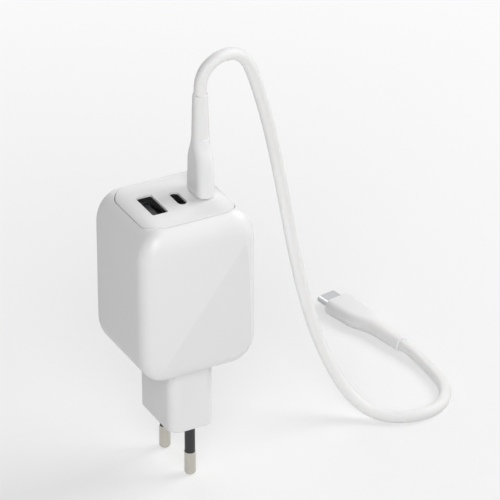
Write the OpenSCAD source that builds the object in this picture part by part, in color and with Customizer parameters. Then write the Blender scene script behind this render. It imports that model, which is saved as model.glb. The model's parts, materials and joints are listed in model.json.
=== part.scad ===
// Wall charger with one large and two small ports on its top face, a fixed
// plug head with two round pins below, and a detachable cable in the end port.
// Units are millimetres. The origin is the centre of the plug head's lower
// face. +Z points up to the ports, +X along their row, and -Y to the front.

/* [Housing] */
// Width of the housing, along the row of ports
body_w = 43; // [42:0.5:56]
// Depth of the housing, from front to back
body_d = 40; // [39:0.5:52]
// Height of the housing, without the plug head
body_h = 58.5; // [58:0.5:76]
// Wall of the moulded housing
wall = 2; // [1.6:0.1:2.4]
// Corner radius of the flat front face
face_r = 3.5; // [2:0.5:5]
// Softening of the edges, measured along the width
edge_x = 5.5; // [4.5:0.5:6]
// Softening of the edges, measured along the depth
edge_y = 6; // [4.5:0.5:6.5]
// Softening of the edges, measured along the height
edge_z = 8; // [6:0.5:9]

/* [Front facet] */
// Steepness of the crease across the front face
facet_angle = 53; // [45:1:60]
// Distance from the middle of the face to the crease
facet_shift = 2; // [0:0.5:4]
// Lean of the facet below the crease
facet_lean = 1.5; // [0.5:0.1:2]

/* [Port panel] */
// Distance from the housing's side to the panel's edge
panel_margin = 4.5; // [4:0.5:5]
// Corner radius of the panel
panel_r = 7; // [5:0.5:8]
// Thickness of the panel round the ports
panel_t = 2; // [1.6:0.1:2.2]
// Width of the thick rim under the panel's edge
rim_w = 2.8; // [2.4:0.1:3.2]
// Height of the panel from its top to the underside of the rim
rim_h = 3.6; // [3.4:0.1:4]
// Width of the parting gap round the panel
seam = 0.25; // [0.15:0.05:0.35]
// Width of the ledge that carries the panel
ledge_w = 1.4; // [1:0.1:1.8]
// Thickness of the ledge
ledge_t = 2; // [1.6:0.1:2.4]
// Width of the collar round the panel's opening
collar_w = 2.4; // [2.2:0.1:3]

/* [Snap hooks] */
// Width of a snap hook
hook_w = 6; // [4:0.5:7]
// Thickness of a snap hook's leg
hook_t = 1.1; // [0.8:0.1:1.3]
// Reach of a hook under the ledge
hook_reach = 0.6; // [0.4:0.1:0.8]
// Height of the hook's nose
hook_nose = 1.2; // [0.8:0.1:1.5]
// Distance between the two hooks of a side
hook_pitch = 16; // [14:1:18]

/* [Ports] */
// Wall of plastic between neighbouring port openings
port_gap = 5.3; // [4.8:0.1:5.6]
// Margin of the panel's opening round a port
port_lip = 0.3; // [0.2:0.05:0.4]
// Sheet thickness of the port shells
port_sheet = 0.3; // [0.2:0.05:0.4]
// Length of the large port's mouth
large_l = 12.5; // [12.5:0.1:13]
// Width of the large port's mouth
large_w = 5.12; // [5:0.02:5.4]
// Depth of the large port's shell
large_depth = 13.5; // [12.5:0.5:14.5]
// Length of a small port's mouth
small_l = 8.34; // [8.34:0.02:8.6]
// Width of a small port's mouth
small_w = 2.56; // [2.56:0.02:2.8]
// Depth of a small port's shell
small_depth = 10; // [9.5:0.5:10.5]

/* [Port tongues] */
// Length of the large port's tongue across
large_tongue_l = 11.1; // [10.5:0.1:11.5]
// Thickness of the large port's tongue
large_tongue_t = 1.84; // [1.6:0.02:2]
// Offset of the large port's tongue from the middle
large_tongue_shift = 0.66; // [0.5:0.02:0.8]
// Depth of the large port's tongue below the mouth
large_tongue_drop = 1; // [0.5:0.1:1.5]
// Height of the plastic base in the large port
large_base_h = 3; // [2:0.5:4]
// Width of a contact of the large port
contact_w = 1; // [0.8:0.1:1.2]
// Thickness of a contact of the large port
contact_t = 0.2; // [0.1:0.05:0.3]
// Distance of the inner contacts from the middle
contact_inner = 1; // [0.9:0.1:1.2]
// Distance of the outer contacts from the middle
contact_outer = 3.5; // [3:0.1:4]
// Length of a small port's tongue across
small_tongue_l = 6.7; // [6.5:0.05:6.8]
// Thickness of a small port's tongue
small_tongue_t = 0.7; // [0.6:0.02:0.74]
// Depth of a small port's tongue below the mouth
small_tongue_drop = 1; // [0.8:0.1:1.2]
// Height of a small port's tongue
small_tongue_h = 4.5; // [4:0.1:4.6]

/* [Plug head] */
// Width of the plug head, across the pins
head_w = 17; // [14:0.5:18]
// Depth of the plug head, along the line of pins
head_d = 25; // [24.5:0.5:25.5]
// Length of the plug head below the housing
head_h = 25; // [22:0.5:30]
// Corner radius of the plug head
head_r = 4; // [3:0.5:5]
// Wall of the plug head
head_wall = 2; // [1.6:0.1:2.2]
// Thickness of the plug head's end
head_end = 3; // [2.5:0.5:4]
// Chamfer round the plug head's end
head_chamfer = 0.8; // [0.4:0.1:1.2]
// Width of the flange that holds the plug head in the housing
flange_w = 1.2; // [0.8:0.1:1.2]
// Thickness of the flange
flange_t = 1.6; // [1.2:0.1:2]

/* [Pins] */
// Distance between the two pins
pin_pitch = 19; // [18.5:0.1:19.2]
// Diameter of a pin at its bare end
pin_d = 4; // [3.9:0.05:4.1]
// Length of a pin below the plug head
pin_l = 19; // [18:0.5:19]
// Diameter of a pin inside its sleeve
pin_core_d = 2.8; // [2.6:0.1:3]
// Rounding at the end of a pin
pin_nose = 1.2; // [0.8:0.1:1.6]
// Diameter of the insulating sleeve
sleeve_d = 3.6; // [3.4:0.05:3.8]
// Length of the sleeve below the plug head
sleeve_l = 10; // [9:0.5:11]
// Depth of the sleeve inside the plug head
sleeve_root = 1.5; // [1:0.1:2]
// Diameter of the boss round a pin
boss_d = 7; // [6:0.2:7.4]
// Height of the boss above the plug head's face
boss_h = 10; // [8:0.5:12]
// Diameter of the stud on top of a pin
stud_d = 2; // [1.6:0.1:2.4]
// Height of the stud on top of a pin
stud_h = 1.6; // [1.2:0.1:2]
// Thickness of the rib between the two bosses
tie_t = 1.6; // [1.2:0.1:2]
// Height of the rib above the plug head's end
tie_h = 5; // [4:0.5:6]

/* [Contact strips] */
// Width of a contact strip
strip_w = 3; // [2.4:0.1:4]
// Thickness of a contact strip
strip_t = 0.5; // [0.4:0.1:0.7]
// Side of the eye that sits on the pin's stud
strip_eye = 5; // [4.4:0.1:5.4]
// Height of the tab soldered to the filter board
strip_tab = 3.5; // [2.5:0.5:4]
// Gap between a contact strip and the boards above it
strip_gap = 0.3; // [0.2:0.1:0.5]

/* [Boards] */
// Thickness of each circuit board
board_t = 1.2; // [1:0.1:1.6]
// Half the depth of each circuit board
board_half_d = 13.5; // [13:0.1:13.5]
// Place of the main board's inner face, on the side of the large port
main_x = 12; // [12:0.1:12.2]
// Place of the filter board's inner face, on the side of the end port
filter_x = 13.6; // [13.4:0.1:13.8]
// Height of the boards above the housing's floor
board_lift = 3; // [2.8:0.1:4]
// Width of a guide rib
rib_w = 4; // [3.5:0.5:5]
// Depth of a board's edge in its slot
slot_d = 0.6; // [0.4:0.1:0.8]

/* [Transformer] */
// Width of the transformer's core
core_w = 18; // [17:0.5:18]
// Depth of the core
core_d = 9; // [8:0.5:10]
// Height of the core
core_h = 18; // [16:0.5:18]
// Width of the core's middle leg
core_leg = 6; // [5:0.5:6.5]
// Thickness of the core's outer legs and yokes
core_side = 2.8; // [2.4:0.1:3]
// Wall of the bobbin
bobbin_t = 0.8; // [0.6:0.1:1]
// Reach of the bobbin's flanges in front of the core
bobbin_reach = 4; // [3:0.5:4.5]
// Gap between the top of the core and the port board
core_drop = 2.2; // [2:0.1:2.4]

/* [Components] */
// Diameter of a mains capacitor
bulk_d = 10.5; // [9:0.5:11]
// Length of a mains capacitor
bulk_l = 20; // [18:0.5:20]
// Distance between the middles of the two mains capacitors
bulk_pitch = 12; // [11.5:0.1:12.5]
// Outer diameter of the choke's ring
choke_d = 12; // [11:0.5:12.5]
// Inner diameter of the choke's ring
choke_bore = 6.6; // [6:0.2:7]
// Thickness of the choke's ring
choke_t = 4.5; // [4:0.5:4.5]
// Thickness of the wire wound on the choke
choke_wire = 0.9; // [0.6:0.1:0.9]
// Angle that each of the choke's windings covers
choke_angle = 140; // [110:5:160]
// Distance of the components on the filter board from its middle
side_y = 6.4; // [6.3:0.1:6.6]
// Drop of the filter board's upper components below the port board
upper_drop = 9.5; // [9:0.1:10]
// Drop of the filter board's lower components below the port board
lower_drop = 20.5; // [20:0.1:21]
// Diameter of an output capacitor
out_cap_d = 6.3; // [5:0.1:6.3]
// Height of an output capacitor
out_cap_h = 7.6; // [6:0.2:7.8]
// Side of an output inductor
coil_s = 6.2; // [5.5:0.1:6.2]
// Height of an output inductor
coil_h = 3; // [2.5:0.1:4]
// Distance of the output parts from the middle of the row of ports
out_y = 10.2; // [10:0.1:10.3]
// Half the distance between two output parts
out_x = 6; // [5:0.5:8]

/* [Cable] */
// Diameter of the cable
cable_d = 4.3; // [4:0.1:4.5]
// Width of a cable plug
plug_w = 12.35; // [11:0.05:12.4]
// Thickness of a cable plug
plug_t = 6.5; // [6:0.1:6.5]
// Length of a cable plug's grip
plug_l = 20.6; // [18:0.2:24]
// Narrowing of the grip towards the cable
plug_taper = 0.5; // [0.2:0.1:0.8]
// Rounding of the grip's ends
plug_round = 0.6; // [0.4:0.1:0.9]
// Length of the strain relief
relief_l = 16; // [14:0.5:20]
// Diameter of the strain relief at the grip
relief_d = 6; // [5.6:0.1:6]
// Diameter of the strain relief at the cable
relief_tip_d = 5.2; // [4.8:0.1:5.4]
// Length of the metal shell of a plug
plug_shell_l = 6.65; // [6:0.05:6.7]
// Width of the metal shell of a plug
plug_shell_w = 8.25; // [8.2:0.01:8.3]
// Thickness of the metal shell of a plug
plug_shell_t = 2.4; // [2.38:0.01:2.46]
// Sheet thickness of the metal shell of a plug
plug_sheet = 0.25; // [0.2:0.01:0.3]
// Gap between a seated plug and the panel
plug_gap = 0.3; // [0.1:0.1:0.5]
// Depth of the metal shell inside the grip
plug_root = 2; // [1.5:0.1:3]
// Width of the slot in a plug's insert
plug_slot_w = 6.95; // [6.85:0.05:7]
// Thickness of the slot in a plug's insert
plug_slot_t = 0.95; // [0.85:0.05:1]

/* [Hidden] */

// Clearance between pieces that seat on each other
seat = 0.1;
// Clearance round pieces that are moulded or pressed into each other
fit = 0.05;
// Overlap that lets a cutting shape pass clean through a face
over = 1;
// Number of facets of soft, curved and small round forms
soft_fn = 40;
inner_fn = 24;
round_fn = 64;

// Small parts: reach from the board, width across it and height up it
filter_size = [5, 12, 11];
bridge_size = [3, 10, 8];
// Diameters and lengths of the fuse and the disc capacitor
fuse_d = 4.4;
fuse_l = 9;
disc_d = 7;
disc_t = 3.2;
// Power stage: chip, thermal pad and heat spreader
chip_s = 8;
chip_t = 1;
pad_s = 10;
pad_t = 0.4;
spreader_d = 22;
spreader_h = 24;
spreader_t = 0.8;
// Side and corner radii of the small chip and the inductors
control_s = 4;
control_r = 0.2;
coil_r = 0.8;
// Thickness of the insulation sheet and the gap round it
sheet_t = 0.3;
sheet_gap = 0.3;
// Spring windows of the large port's shell
window_w = 1.8;
window_h = 5;
// Crimped groove and dished top of a capacitor
can_groove = 0.35;
can_dish = 0.3;
// Recess of a plug's insert, and the plastic left behind its slot
insert_recess = 0.3;
insert_back = 0.8;
// Thickness of the slices that a grip is drawn through
grip_slice_h = 0.1;
// Sides of the cable's tube, and rings for each step of its route
cable_sides = 10;
cable_steps = 2;
// Where the free plug lies, on the surface under the pins, and which way its
// cable end points
free_at = [96.8, 61, -15.75];
free_turn = -80;
free_axis = [cos(free_turn), sin(free_turn), 0];

// Heights, from the plug head's face up
floor_z = head_h;
top_z = floor_z + body_h;
mid_z = floor_z + body_h / 2;
inner_floor_z = floor_z + wall;
rim_z = top_z - rim_h;
mouth_z = top_z - panel_t - seat;
port_board_top = mouth_z - large_depth;
port_board_z = port_board_top - board_t;
board_z = inner_floor_z + board_lift;

// Panel outline
panel_w = body_w - 2 * panel_margin;
panel_d = body_d - 2 * panel_margin;

// Row of ports, centred on the panel
large_open_w = large_w + 2 * port_lip;
small_open_w = small_w + 2 * port_lip;
row_w = large_open_w + 2 * small_open_w + 2 * port_gap;
large_x = -row_w / 2 + large_open_w / 2;
middle_x = large_x + large_open_w / 2 + port_gap + small_open_w / 2;
end_x = middle_x + small_open_w + port_gap;

// Places on the boards
rib_y = board_half_d - slot_d + seat;
core_x = -main_x + seat + core_w / 2;
core_z = port_board_z - core_drop - core_h / 2;
bulk_z = board_z + seat + bulk_d / 2;
upper_z = port_board_z - upper_drop;
lower_z = port_board_z - lower_drop;
bobbin_window = core_w / 2 - core_side - core_leg / 2;
strip_z = board_z - strip_t - strip_gap;
strip_x = strip_eye / 2;
plug_z = top_z + plug_gap;

// Exact outlines

module rounded_rect(w, d, r) {
    square([w - 2 * r, d], center = true);
    square([w, d - 2 * r], center = true);
    for (x = [-1, 1], y = [-1, 1])
        translate([x * (w / 2 - r), y * (d / 2 - r)]) circle(r, $fn = round_fn);
}

// A slot with round ends whose length lies along Y
module slot(l, w) {
    square([w, l - w], center = true);
    for (y = [-1, 1])
        translate([0, y * (l - w) / 2]) circle(w / 2, $fn = inner_fn);
}

module prism(w, d, r, z0, z1) {
    translate([0, 0, z0]) linear_extrude(z1 - z0) rounded_rect(w, d, r);
}

module slot_prism(l, w, z0, z1) {
    translate([0, 0, z0]) linear_extrude(z1 - z0) slot(l, w);
}

module block(x0, x1, y0, y1, z0, z1) {
    translate([x0, y0, z0]) cube([x1 - x0, y1 - y0, z1 - z0]);
}

// Housing

// The housing's form, taken in by an equal inset on every side: a front
// outline with round corners, softened all over by an ellipsoid
module housing_form(inset = 0, fn = soft_fn) {
    ex = edge_x - inset;
    ey = edge_y - inset;
    ez = edge_z - inset;
    translate([0, 0, mid_z])
        minkowski() {
            rotate([90, 0, 0])
                linear_extrude(body_d - 2 * inset - 2 * ey, center = true)
                    face_outline(body_w - 2 * inset - 2 * ex, body_h - 2 * inset - 2 * ez, fn);
            scale([ex, ey, ez]) sphere(1, $fn = fn);
        }
}

module face_outline(w, h, fn) {
    hull()
        for (x = [-1, 1], z = [-1, 1])
            translate([x * (w / 2 - face_r), z * (h / 2 - face_r)]) circle(face_r, $fn = fn);
}

// The wedge of space in front of the leaning facet
module facet_cut() {
    reach = body_w + body_h;
    translate([0, -body_d / 2, mid_z])
        rotate([0, -facet_angle, 0])
            translate([0, 0, -facet_shift])
                rotate([facet_lean, 0, 0])
                    translate([-reach, -reach, -reach]) cube([2 * reach, reach, reach]);
}

// Ribs that guide the two upright boards and carry the port board
module guide_ribs() {
    intersection() {
        housing_form(wall / 2, inner_fn);
        for (x = [-main_x - board_t / 2, filter_x + board_t / 2], y = [-1, 1])
            scale([1, y, 1])
                block(x - rib_w / 2, x + rib_w / 2, rib_y, body_d / 2, floor_z, port_board_z);
    }
}

module board_slots() {
    for (x = [-main_x - board_t / 2, filter_x + board_t / 2], y = [-1, 1])
        scale([1, y, 1])
            block(x - board_t / 2 - seat, x + board_t / 2 + seat,
                  rib_y - over, board_half_d + seat, board_z, port_board_z + over);
}

module panel_collar() {
    intersection() {
        housing_form(wall / 2, inner_fn);
        prism(panel_w + 2 * collar_w, panel_d + 2 * collar_w, panel_r,
              rim_z - seat - ledge_t, top_z);
    }
}

module housing_shell() {
    color("#f2f2f2")
    difference() {
        union() {
            difference() {
                housing_form();
                housing_form(wall, inner_fn);
            }
            panel_collar();
            guide_ribs();
        }
        facet_cut();
        board_slots();
        prism(panel_w + 2 * seam, panel_d + 2 * seam, panel_r + seam, rim_z - seat, top_z + over);
        prism(panel_w - 2 * ledge_w, panel_d - 2 * ledge_w, panel_r - ledge_w,
              rim_z - ledge_t - over, top_z + over);
        prism(head_w + 2 * seat, head_d + 2 * seat, head_r + seat,
              floor_z - over, inner_floor_z + over);
    }
}

// Port panel

module snap_hooks() {
    leg_y = panel_d / 2 - ledge_w - seat;
    nose_z = rim_z - seat - ledge_t - seat;
    for (x = [-1, 1], y = [-1, 1])
        translate([x * hook_pitch / 2, 0, 0]) scale([1, y, 1])
            rotate([90, 0, 90])
                linear_extrude(hook_w, center = true)
                    polygon([
                        [leg_y - hook_t, rim_z],
                        [leg_y - hook_t, nose_z - hook_nose],
                        [leg_y, nose_z - hook_nose],
                        [leg_y + hook_reach, nose_z],
                        [leg_y, nose_z],
                        [leg_y, rim_z]
                    ]);
}

module port_panel() {
    color("#eeeeee")
    difference() {
        union() {
            intersection() {
                housing_form();
                prism(panel_w, panel_d, panel_r, rim_z, top_z + over);
            }
            snap_hooks();
        }
        prism(panel_w - 2 * rim_w, panel_d - 2 * rim_w, panel_r - rim_w,
              rim_z - over, top_z - panel_t);
        translate([large_x, 0, 0])
            prism(large_open_w, large_l + 2 * port_lip, 2 * port_lip, rim_z, top_z + over);
        for (x = [middle_x, end_x])
            translate([x, 0, 0])
                slot_prism(small_l + 2 * port_lip, small_open_w, rim_z, top_z + over);
    }
}

// Plug head

module head_bosses() {
    intersection() {
        for (y = [-1, 1])
            translate([0, y * pin_pitch / 2, head_end - over / 2])
                cylinder(d = boss_d, h = boss_h - head_end + over / 2, $fn = round_fn);
        prism(head_w - head_wall, head_d - head_wall, head_r - head_wall / 2, 0, boss_h);
    }
}

// Rib that ties the two bosses together across the plug head's end
module head_rib() {
    translate([0, 0, head_end - over / 2])
        linear_extrude(tie_h + over / 2)
            square([tie_t, pin_pitch - pin_d - head_wall], center = true);
}

module plug_head() {
    flange_z = inner_floor_z + seat;
    color("#efefef")
    difference() {
        union() {
            difference() {
                union() {
                    hull() {
                        prism(head_w - 2 * head_chamfer, head_d - 2 * head_chamfer,
                              head_r - head_chamfer, 0, head_chamfer);
                        prism(head_w, head_d, head_r, head_chamfer, 2 * head_chamfer);
                    }
                    prism(head_w, head_d, head_r, head_chamfer, flange_z + flange_t);
                    prism(head_w + 2 * flange_w, head_d + 2 * flange_w, head_r + flange_w,
                          flange_z, flange_z + flange_t);
                }
                prism(head_w - 2 * head_wall, head_d - 2 * head_wall, head_r - head_wall,
                      head_end, flange_z + flange_t + over);
            }
            head_bosses();
            head_rib();
        }
        for (y = [-1, 1])
            translate([0, y * pin_pitch / 2, 0]) {
                translate([0, 0, -over])
                    cylinder(d = sleeve_d + 2 * fit, h = sleeve_root + fit + over, $fn = round_fn);
                cylinder(d = pin_d + 2 * fit, h = boss_h + over, $fn = round_fn);
            }
    }
}

// Pins

// One revolved pin: rounded bare end, thin core for the sleeve, shank and stud
module pin() {
    tip_r = pin_d / 2;
    core_r = pin_core_d / 2;
    rotate_extrude($fn = round_fn) {
        polygon([
            [0, -pin_l],
            [tip_r - pin_nose, -pin_l],
            [tip_r - pin_nose, -pin_l + pin_nose],
            [tip_r, -pin_l + pin_nose],
            [tip_r, -sleeve_l],
            [core_r, -sleeve_l],
            [core_r, sleeve_root],
            [tip_r, sleeve_root],
            [tip_r, boss_h],
            [stud_d / 2, boss_h],
            [stud_d / 2, boss_h + stud_h],
            [0, boss_h + stud_h]
        ]);
        intersection() {
            translate([tip_r - pin_nose, -pin_l + pin_nose]) circle(pin_nose, $fn = round_fn);
            translate([tip_r - pin_nose, -pin_l]) square([pin_nose, pin_nose]);
        }
    }
}

module sleeve() {
    rotate_extrude($fn = round_fn)
        translate([pin_core_d / 2 + fit, -sleeve_l + fit])
            square([(sleeve_d - pin_core_d) / 2 - fit, sleeve_l + sleeve_root - 2 * fit]);
}

module at_live() {
    translate([0, -pin_pitch / 2, 0]) children();
}

module at_neutral() {
    translate([0, pin_pitch / 2, 0]) children();
}

module pin_live() {
    color("#c9c4b8") at_live() pin();
}

module pin_neutral() {
    color("#c9c4b8") at_neutral() pin();
}

module sleeve_live() {
    color("#3a3a3c") at_live() sleeve();
}

module sleeve_neutral() {
    color("#3a3a3c") at_neutral() sleeve();
}

// A bent strip: fork on the pin's stud, riser beside the plug head's wall, run
// under the boards, solder tab. Its outer side lies on -Y
module contact_strip() {
    eye_z = boss_h + fit;
    tab_x = filter_x - seat;
    outer = pin_pitch / 2 - (head_d / 2 - head_wall - seat);
    inner = outer + strip_w;
    difference() {
        union() {
            intersection() {
                translate([0, 0, eye_z]) cylinder(d = strip_eye, h = strip_t, $fn = round_fn);
                block(-strip_eye, strip_eye, outer, strip_eye, eye_z - over, eye_z + strip_t + over);
            }
            block(0, strip_x + strip_t, outer, inner, eye_z, eye_z + strip_t);
            block(strip_x, strip_x + strip_t, outer, inner, eye_z, strip_z + strip_t);
            block(strip_x, tab_x, outer, inner, strip_z, strip_z + strip_t);
            block(tab_x - strip_t, tab_x, outer, inner, strip_z, strip_z + strip_tab);
        }
        cylinder(d = stud_d + 2 * fit, h = eye_z + strip_t + over, $fn = round_fn);
    }
}

module contact_strip_live() {
    color("#b8864b") at_live() contact_strip();
}

module contact_strip_neutral() {
    color("#b8864b") at_neutral() scale([1, -1, 1]) contact_strip();
}

// Circuit boards

module main_board() {
    color("#2f6b3c")
        block(-main_x - board_t, -main_x, -board_half_d, board_half_d, board_z, port_board_z);
}

module filter_board() {
    color("#2f6b3c")
        block(filter_x, filter_x + board_t, -board_half_d, board_half_d, board_z, port_board_z);
}

module port_board() {
    color("#2f6b3c")
        block(-main_x - board_t, filter_x + board_t, -board_half_d, board_half_d,
              port_board_z, port_board_top);
}

// Ports

// Bent sheet shell of the large port, with a pair of spring windows on each long side
module large_port_shell() {
    outer_w = large_w + 2 * port_sheet;
    outer_l = large_l + 2 * port_sheet;
    color("#a8abad")
    translate([large_x, 0, 0])
        difference() {
            prism(outer_w, outer_l, 2 * port_sheet, port_board_top, mouth_z);
            prism(large_w, large_l, port_sheet, port_board_top - over, mouth_z + over);
            for (y = [-1, 1])
                translate([0, y * large_l / 4, (port_board_top + mouth_z) / 2])
                    cube([outer_w + over, window_w, window_h], center = true);
        }
}

module large_port_tongue() {
    base_z = port_board_top + large_base_h;
    color("#232324")
    translate([large_x, 0, 0]) {
        prism(large_w - 2 * fit, large_l - 2 * fit, port_sheet, port_board_top, base_z);
        translate([large_tongue_shift, 0, 0])
            prism(large_tongue_t, large_tongue_l, port_sheet,
                  base_z - over, mouth_z - large_tongue_drop);
    }
}

module large_port_contacts() {
    face_x = large_x + large_tongue_shift - large_tongue_t / 2;
    base_z = port_board_top + large_base_h;
    color("#d8b25a")
        for (y = [-contact_outer, -contact_inner, contact_inner, contact_outer])
            block(face_x - contact_t, face_x, y - contact_w / 2, y + contact_w / 2,
                  base_z, mouth_z - 2 * large_tongue_drop);
}

module small_port_shell() {
    difference() {
        slot_prism(small_l + 2 * port_sheet, small_w + 2 * port_sheet,
                   mouth_z - small_depth, mouth_z);
        slot_prism(small_l, small_w, mouth_z - small_depth - over, mouth_z + over);
    }
}

// Riser under the shell, plug of plastic in it, and the thin tongue
module small_port_tongue() {
    tongue_top = mouth_z - small_tongue_drop;
    shell_z = mouth_z - small_depth;
    prism(small_w + 4 * port_sheet, small_l + 4 * port_sheet, port_sheet, port_board_top, shell_z);
    slot_prism(small_l - 2 * fit, small_w - 2 * fit, shell_z - over / 2, tongue_top - small_tongue_h);
    translate([0, 0, tongue_top - small_tongue_h - over / 2])
        linear_extrude(small_tongue_h + over / 2)
            square([small_tongue_t, small_tongue_l], center = true);
}

module middle_port_shell() {
    color("#a8abad") translate([middle_x, 0, 0]) small_port_shell();
}

module middle_port_tongue() {
    color("#232324") translate([middle_x, 0, 0]) small_port_tongue();
}

module end_port_shell() {
    color("#a8abad") translate([end_x, 0, 0]) small_port_shell();
}

module end_port_tongue() {
    color("#232324") translate([end_x, 0, 0]) small_port_tongue();
}

// Transformer

module transformer_core() {
    color("#4a4d50")
    translate([core_x, 0, core_z])
        difference() {
            cube([core_w, core_d, core_h], center = true);
            for (x = [-1, 1])
                translate([x * (core_leg + bobbin_window) / 2, 0, 0])
                    cube([bobbin_window, core_d + over, core_h - 2 * core_side], center = true);
        }
}

module transformer_bobbin() {
    tube_w = core_leg + 2 * fit + 2 * bobbin_t;
    tube_d = core_d + 2 * fit + 2 * bobbin_t;
    inner_h = core_h - 2 * core_side - 2 * fit;
    color("#1f1f20")
    translate([core_x, 0, core_z])
        difference() {
            union() {
                cube([tube_w, tube_d, inner_h], center = true);
                for (z = [-1, 1])
                    translate([0, 0, z * (inner_h - bobbin_t) / 2])
                        cube([core_leg + 2 * bobbin_window - 2 * fit, core_d + 2 * bobbin_reach, bobbin_t],
                             center = true);
            }
            cube([core_leg + 2 * fit, core_d + 2 * fit, inner_h + over], center = true);
        }
}

module transformer_winding() {
    tube_w = core_leg + 4 * fit + 2 * bobbin_t;
    tube_d = core_d + 4 * fit + 2 * bobbin_t;
    wind_w = core_leg + 2 * bobbin_window - 4 * fit;
    wind_d = core_d + 2 * bobbin_reach - 2 * bobbin_t;
    wind_h = core_h - 2 * core_side - 2 * bobbin_t - 4 * fit;
    color("#d9b23a")
    translate([core_x, 0, core_z])
        difference() {
            prism(wind_w, wind_d, bobbin_window / 2, -wind_h / 2, wind_h / 2);
            cube([tube_w, tube_d, wind_h + over], center = true);
        }
}

// Capacitors

// A can with a crimped groove and a dished top, revolved about its axis
module can(d, l, groove_h) {
    rotate_extrude($fn = round_fn)
        difference() {
            square([d / 2, l]);
            translate([d / 2, groove_h]) circle(can_groove, $fn = inner_fn);
            translate([0, l - can_dish]) square([d / 3, can_dish + over]);
        }
}

module mains_capacitor(y) {
    translate([-main_x + seat, y, bulk_z]) rotate([0, 90, 0]) can(bulk_d, bulk_l, bulk_l / 8);
}

module mains_capacitor_front() {
    color("#27344a") mains_capacitor(-bulk_pitch / 2);
}

module mains_capacitor_rear() {
    color("#27344a") mains_capacitor(bulk_pitch / 2);
}

module output_capacitor(x) {
    translate([x, out_y, port_board_top + seat]) can(out_cap_d, out_cap_h, out_cap_h / 6);
}

module output_capacitor_left() {
    color("#b9bcc0") output_capacitor(-out_x);
}

module output_capacitor_right() {
    color("#b9bcc0") output_capacitor(out_x);
}

// Filter board components

module at_choke() {
    translate([filter_x - seat - choke_t / 2 - choke_wire, -side_y, upper_z])
        rotate([0, 90, 0]) children();
}

module choke_ring() {
    color("#5a5d60")
    at_choke()
        difference() {
            cylinder(d = choke_d, h = choke_t, center = true, $fn = round_fn);
            cylinder(d = choke_bore, h = choke_t + over, center = true, $fn = round_fn);
        }
}

module choke_windings() {
    ring_w = (choke_d - choke_bore) / 2;
    color("#b5622c")
    at_choke()
        for (a = [0, 180])
            rotate([0, 0, a - choke_angle / 2])
                rotate_extrude(angle = choke_angle, $fn = round_fn)
                    translate([(choke_d + choke_bore) / 4, 0])
                        difference() {
                            square([ring_w + 2 * choke_wire, choke_t + 2 * choke_wire], center = true);
                            square([ring_w + 2 * fit, choke_t + 2 * fit], center = true);
                        }
}

// A small moulded block on the filter board
module filter_block(size, z) {
    translate([filter_x - seat - size[0] / 2, side_y, z]) cube(size, center = true);
}

module filter_capacitor() {
    color("#c9a227") filter_block(filter_size, upper_z);
}

module bridge_rectifier() {
    color("#202022") filter_block(bridge_size, lower_z);
}

module fuse() {
    color("#3b2a20")
    translate([filter_x - seat - fuse_d / 2, -side_y, lower_z])
        rotate([90, 0, 0]) cylinder(d = fuse_d, h = fuse_l, center = true, $fn = round_fn);
}

module safety_capacitor() {
    color("#2a66a8")
    translate([filter_x - seat - disc_t / 2, 0, bulk_z])
        rotate([0, 90, 0]) cylinder(d = disc_d, h = disc_t, center = true, $fn = round_fn);
}

// Power stage on the outer face of the main board

module power_transistor() {
    x = -main_x - board_t;
    color("#202022")
        block(x - chip_t, x, -chip_s / 2, chip_s / 2, core_z - chip_s / 2, core_z + chip_s / 2);
}

module thermal_pad() {
    x = -main_x - board_t - chip_t;
    color("#8f98a3")
        block(x - pad_t, x, -pad_s / 2, pad_s / 2, core_z - pad_s / 2, core_z + pad_s / 2);
}

module heat_spreader() {
    x = -main_x - board_t - chip_t - pad_t;
    color("#c3c6c8")
        block(x - spreader_t, x, -spreader_d / 2, spreader_d / 2,
              core_z - spreader_h / 2, core_z + spreader_h / 2);
}

// Output stage on the port board

module output_inductor(x) {
    translate([x, -out_y, port_board_top]) prism(coil_s, coil_s, coil_r, 0, coil_h);
}

module output_inductor_left() {
    color("#55585a") output_inductor(-out_x);
}

module output_inductor_right() {
    color("#55585a") output_inductor(out_x);
}

module port_controller() {
    color("#202022")
    translate([0, -out_y, port_board_top]) prism(control_s, control_s, control_r, 0, chip_t);
}

// Sheet between the mains side and the output side
module insulation_sheet() {
    color("#e7e2c8")
        block(-main_x + sheet_gap, filter_x - sheet_gap, -rib_y + sheet_gap, rib_y - sheet_gap,
              port_board_z - sheet_gap - sheet_t, port_board_z - sheet_gap);
}

// Cable plugs, each drawn with its grip's face at the origin and the cable above

module grip_slice(w, t, z) {
    translate([0, 0, z]) linear_extrude(grip_slice_h) hull()
        for (y = [-1, 1])
            translate([0, y * (w - t) / 2]) circle(t / 2, $fn = inner_fn);
}

module plug_grip() {
    top_w = plug_w - 2 * plug_taper;
    top_t = plug_t - plug_taper / 2;
    difference() {
        hull() {
            grip_slice(plug_w - 2 * plug_round, plug_t - 2 * plug_round, 0);
            grip_slice(plug_w, plug_t, plug_round);
            grip_slice(top_w, top_t, plug_l - 2 * plug_round);
            grip_slice(top_w - 2 * plug_round, top_t - 2 * plug_round, plug_l - grip_slice_h);
        }
        translate([0, 0, -over])
            linear_extrude(plug_root + over) slot(plug_shell_w + 2 * fit, plug_shell_t + 2 * fit);
    }
}

// Tapered collar that keeps the cable from kinking at the grip
module plug_relief() {
    translate([0, 0, plug_l])
        cylinder(d1 = relief_d, d2 = relief_tip_d, h = relief_l, $fn = round_fn);
}

module plug_shell() {
    root = plug_root - seat;
    difference() {
        translate([0, 0, -plug_shell_l])
            linear_extrude(plug_shell_l + root) slot(plug_shell_w, plug_shell_t);
        translate([0, 0, -plug_shell_l - over])
            linear_extrude(plug_shell_l + root + 2 * over)
                slot(plug_shell_w - 2 * plug_sheet, plug_shell_t - 2 * plug_sheet);
    }
}

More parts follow.
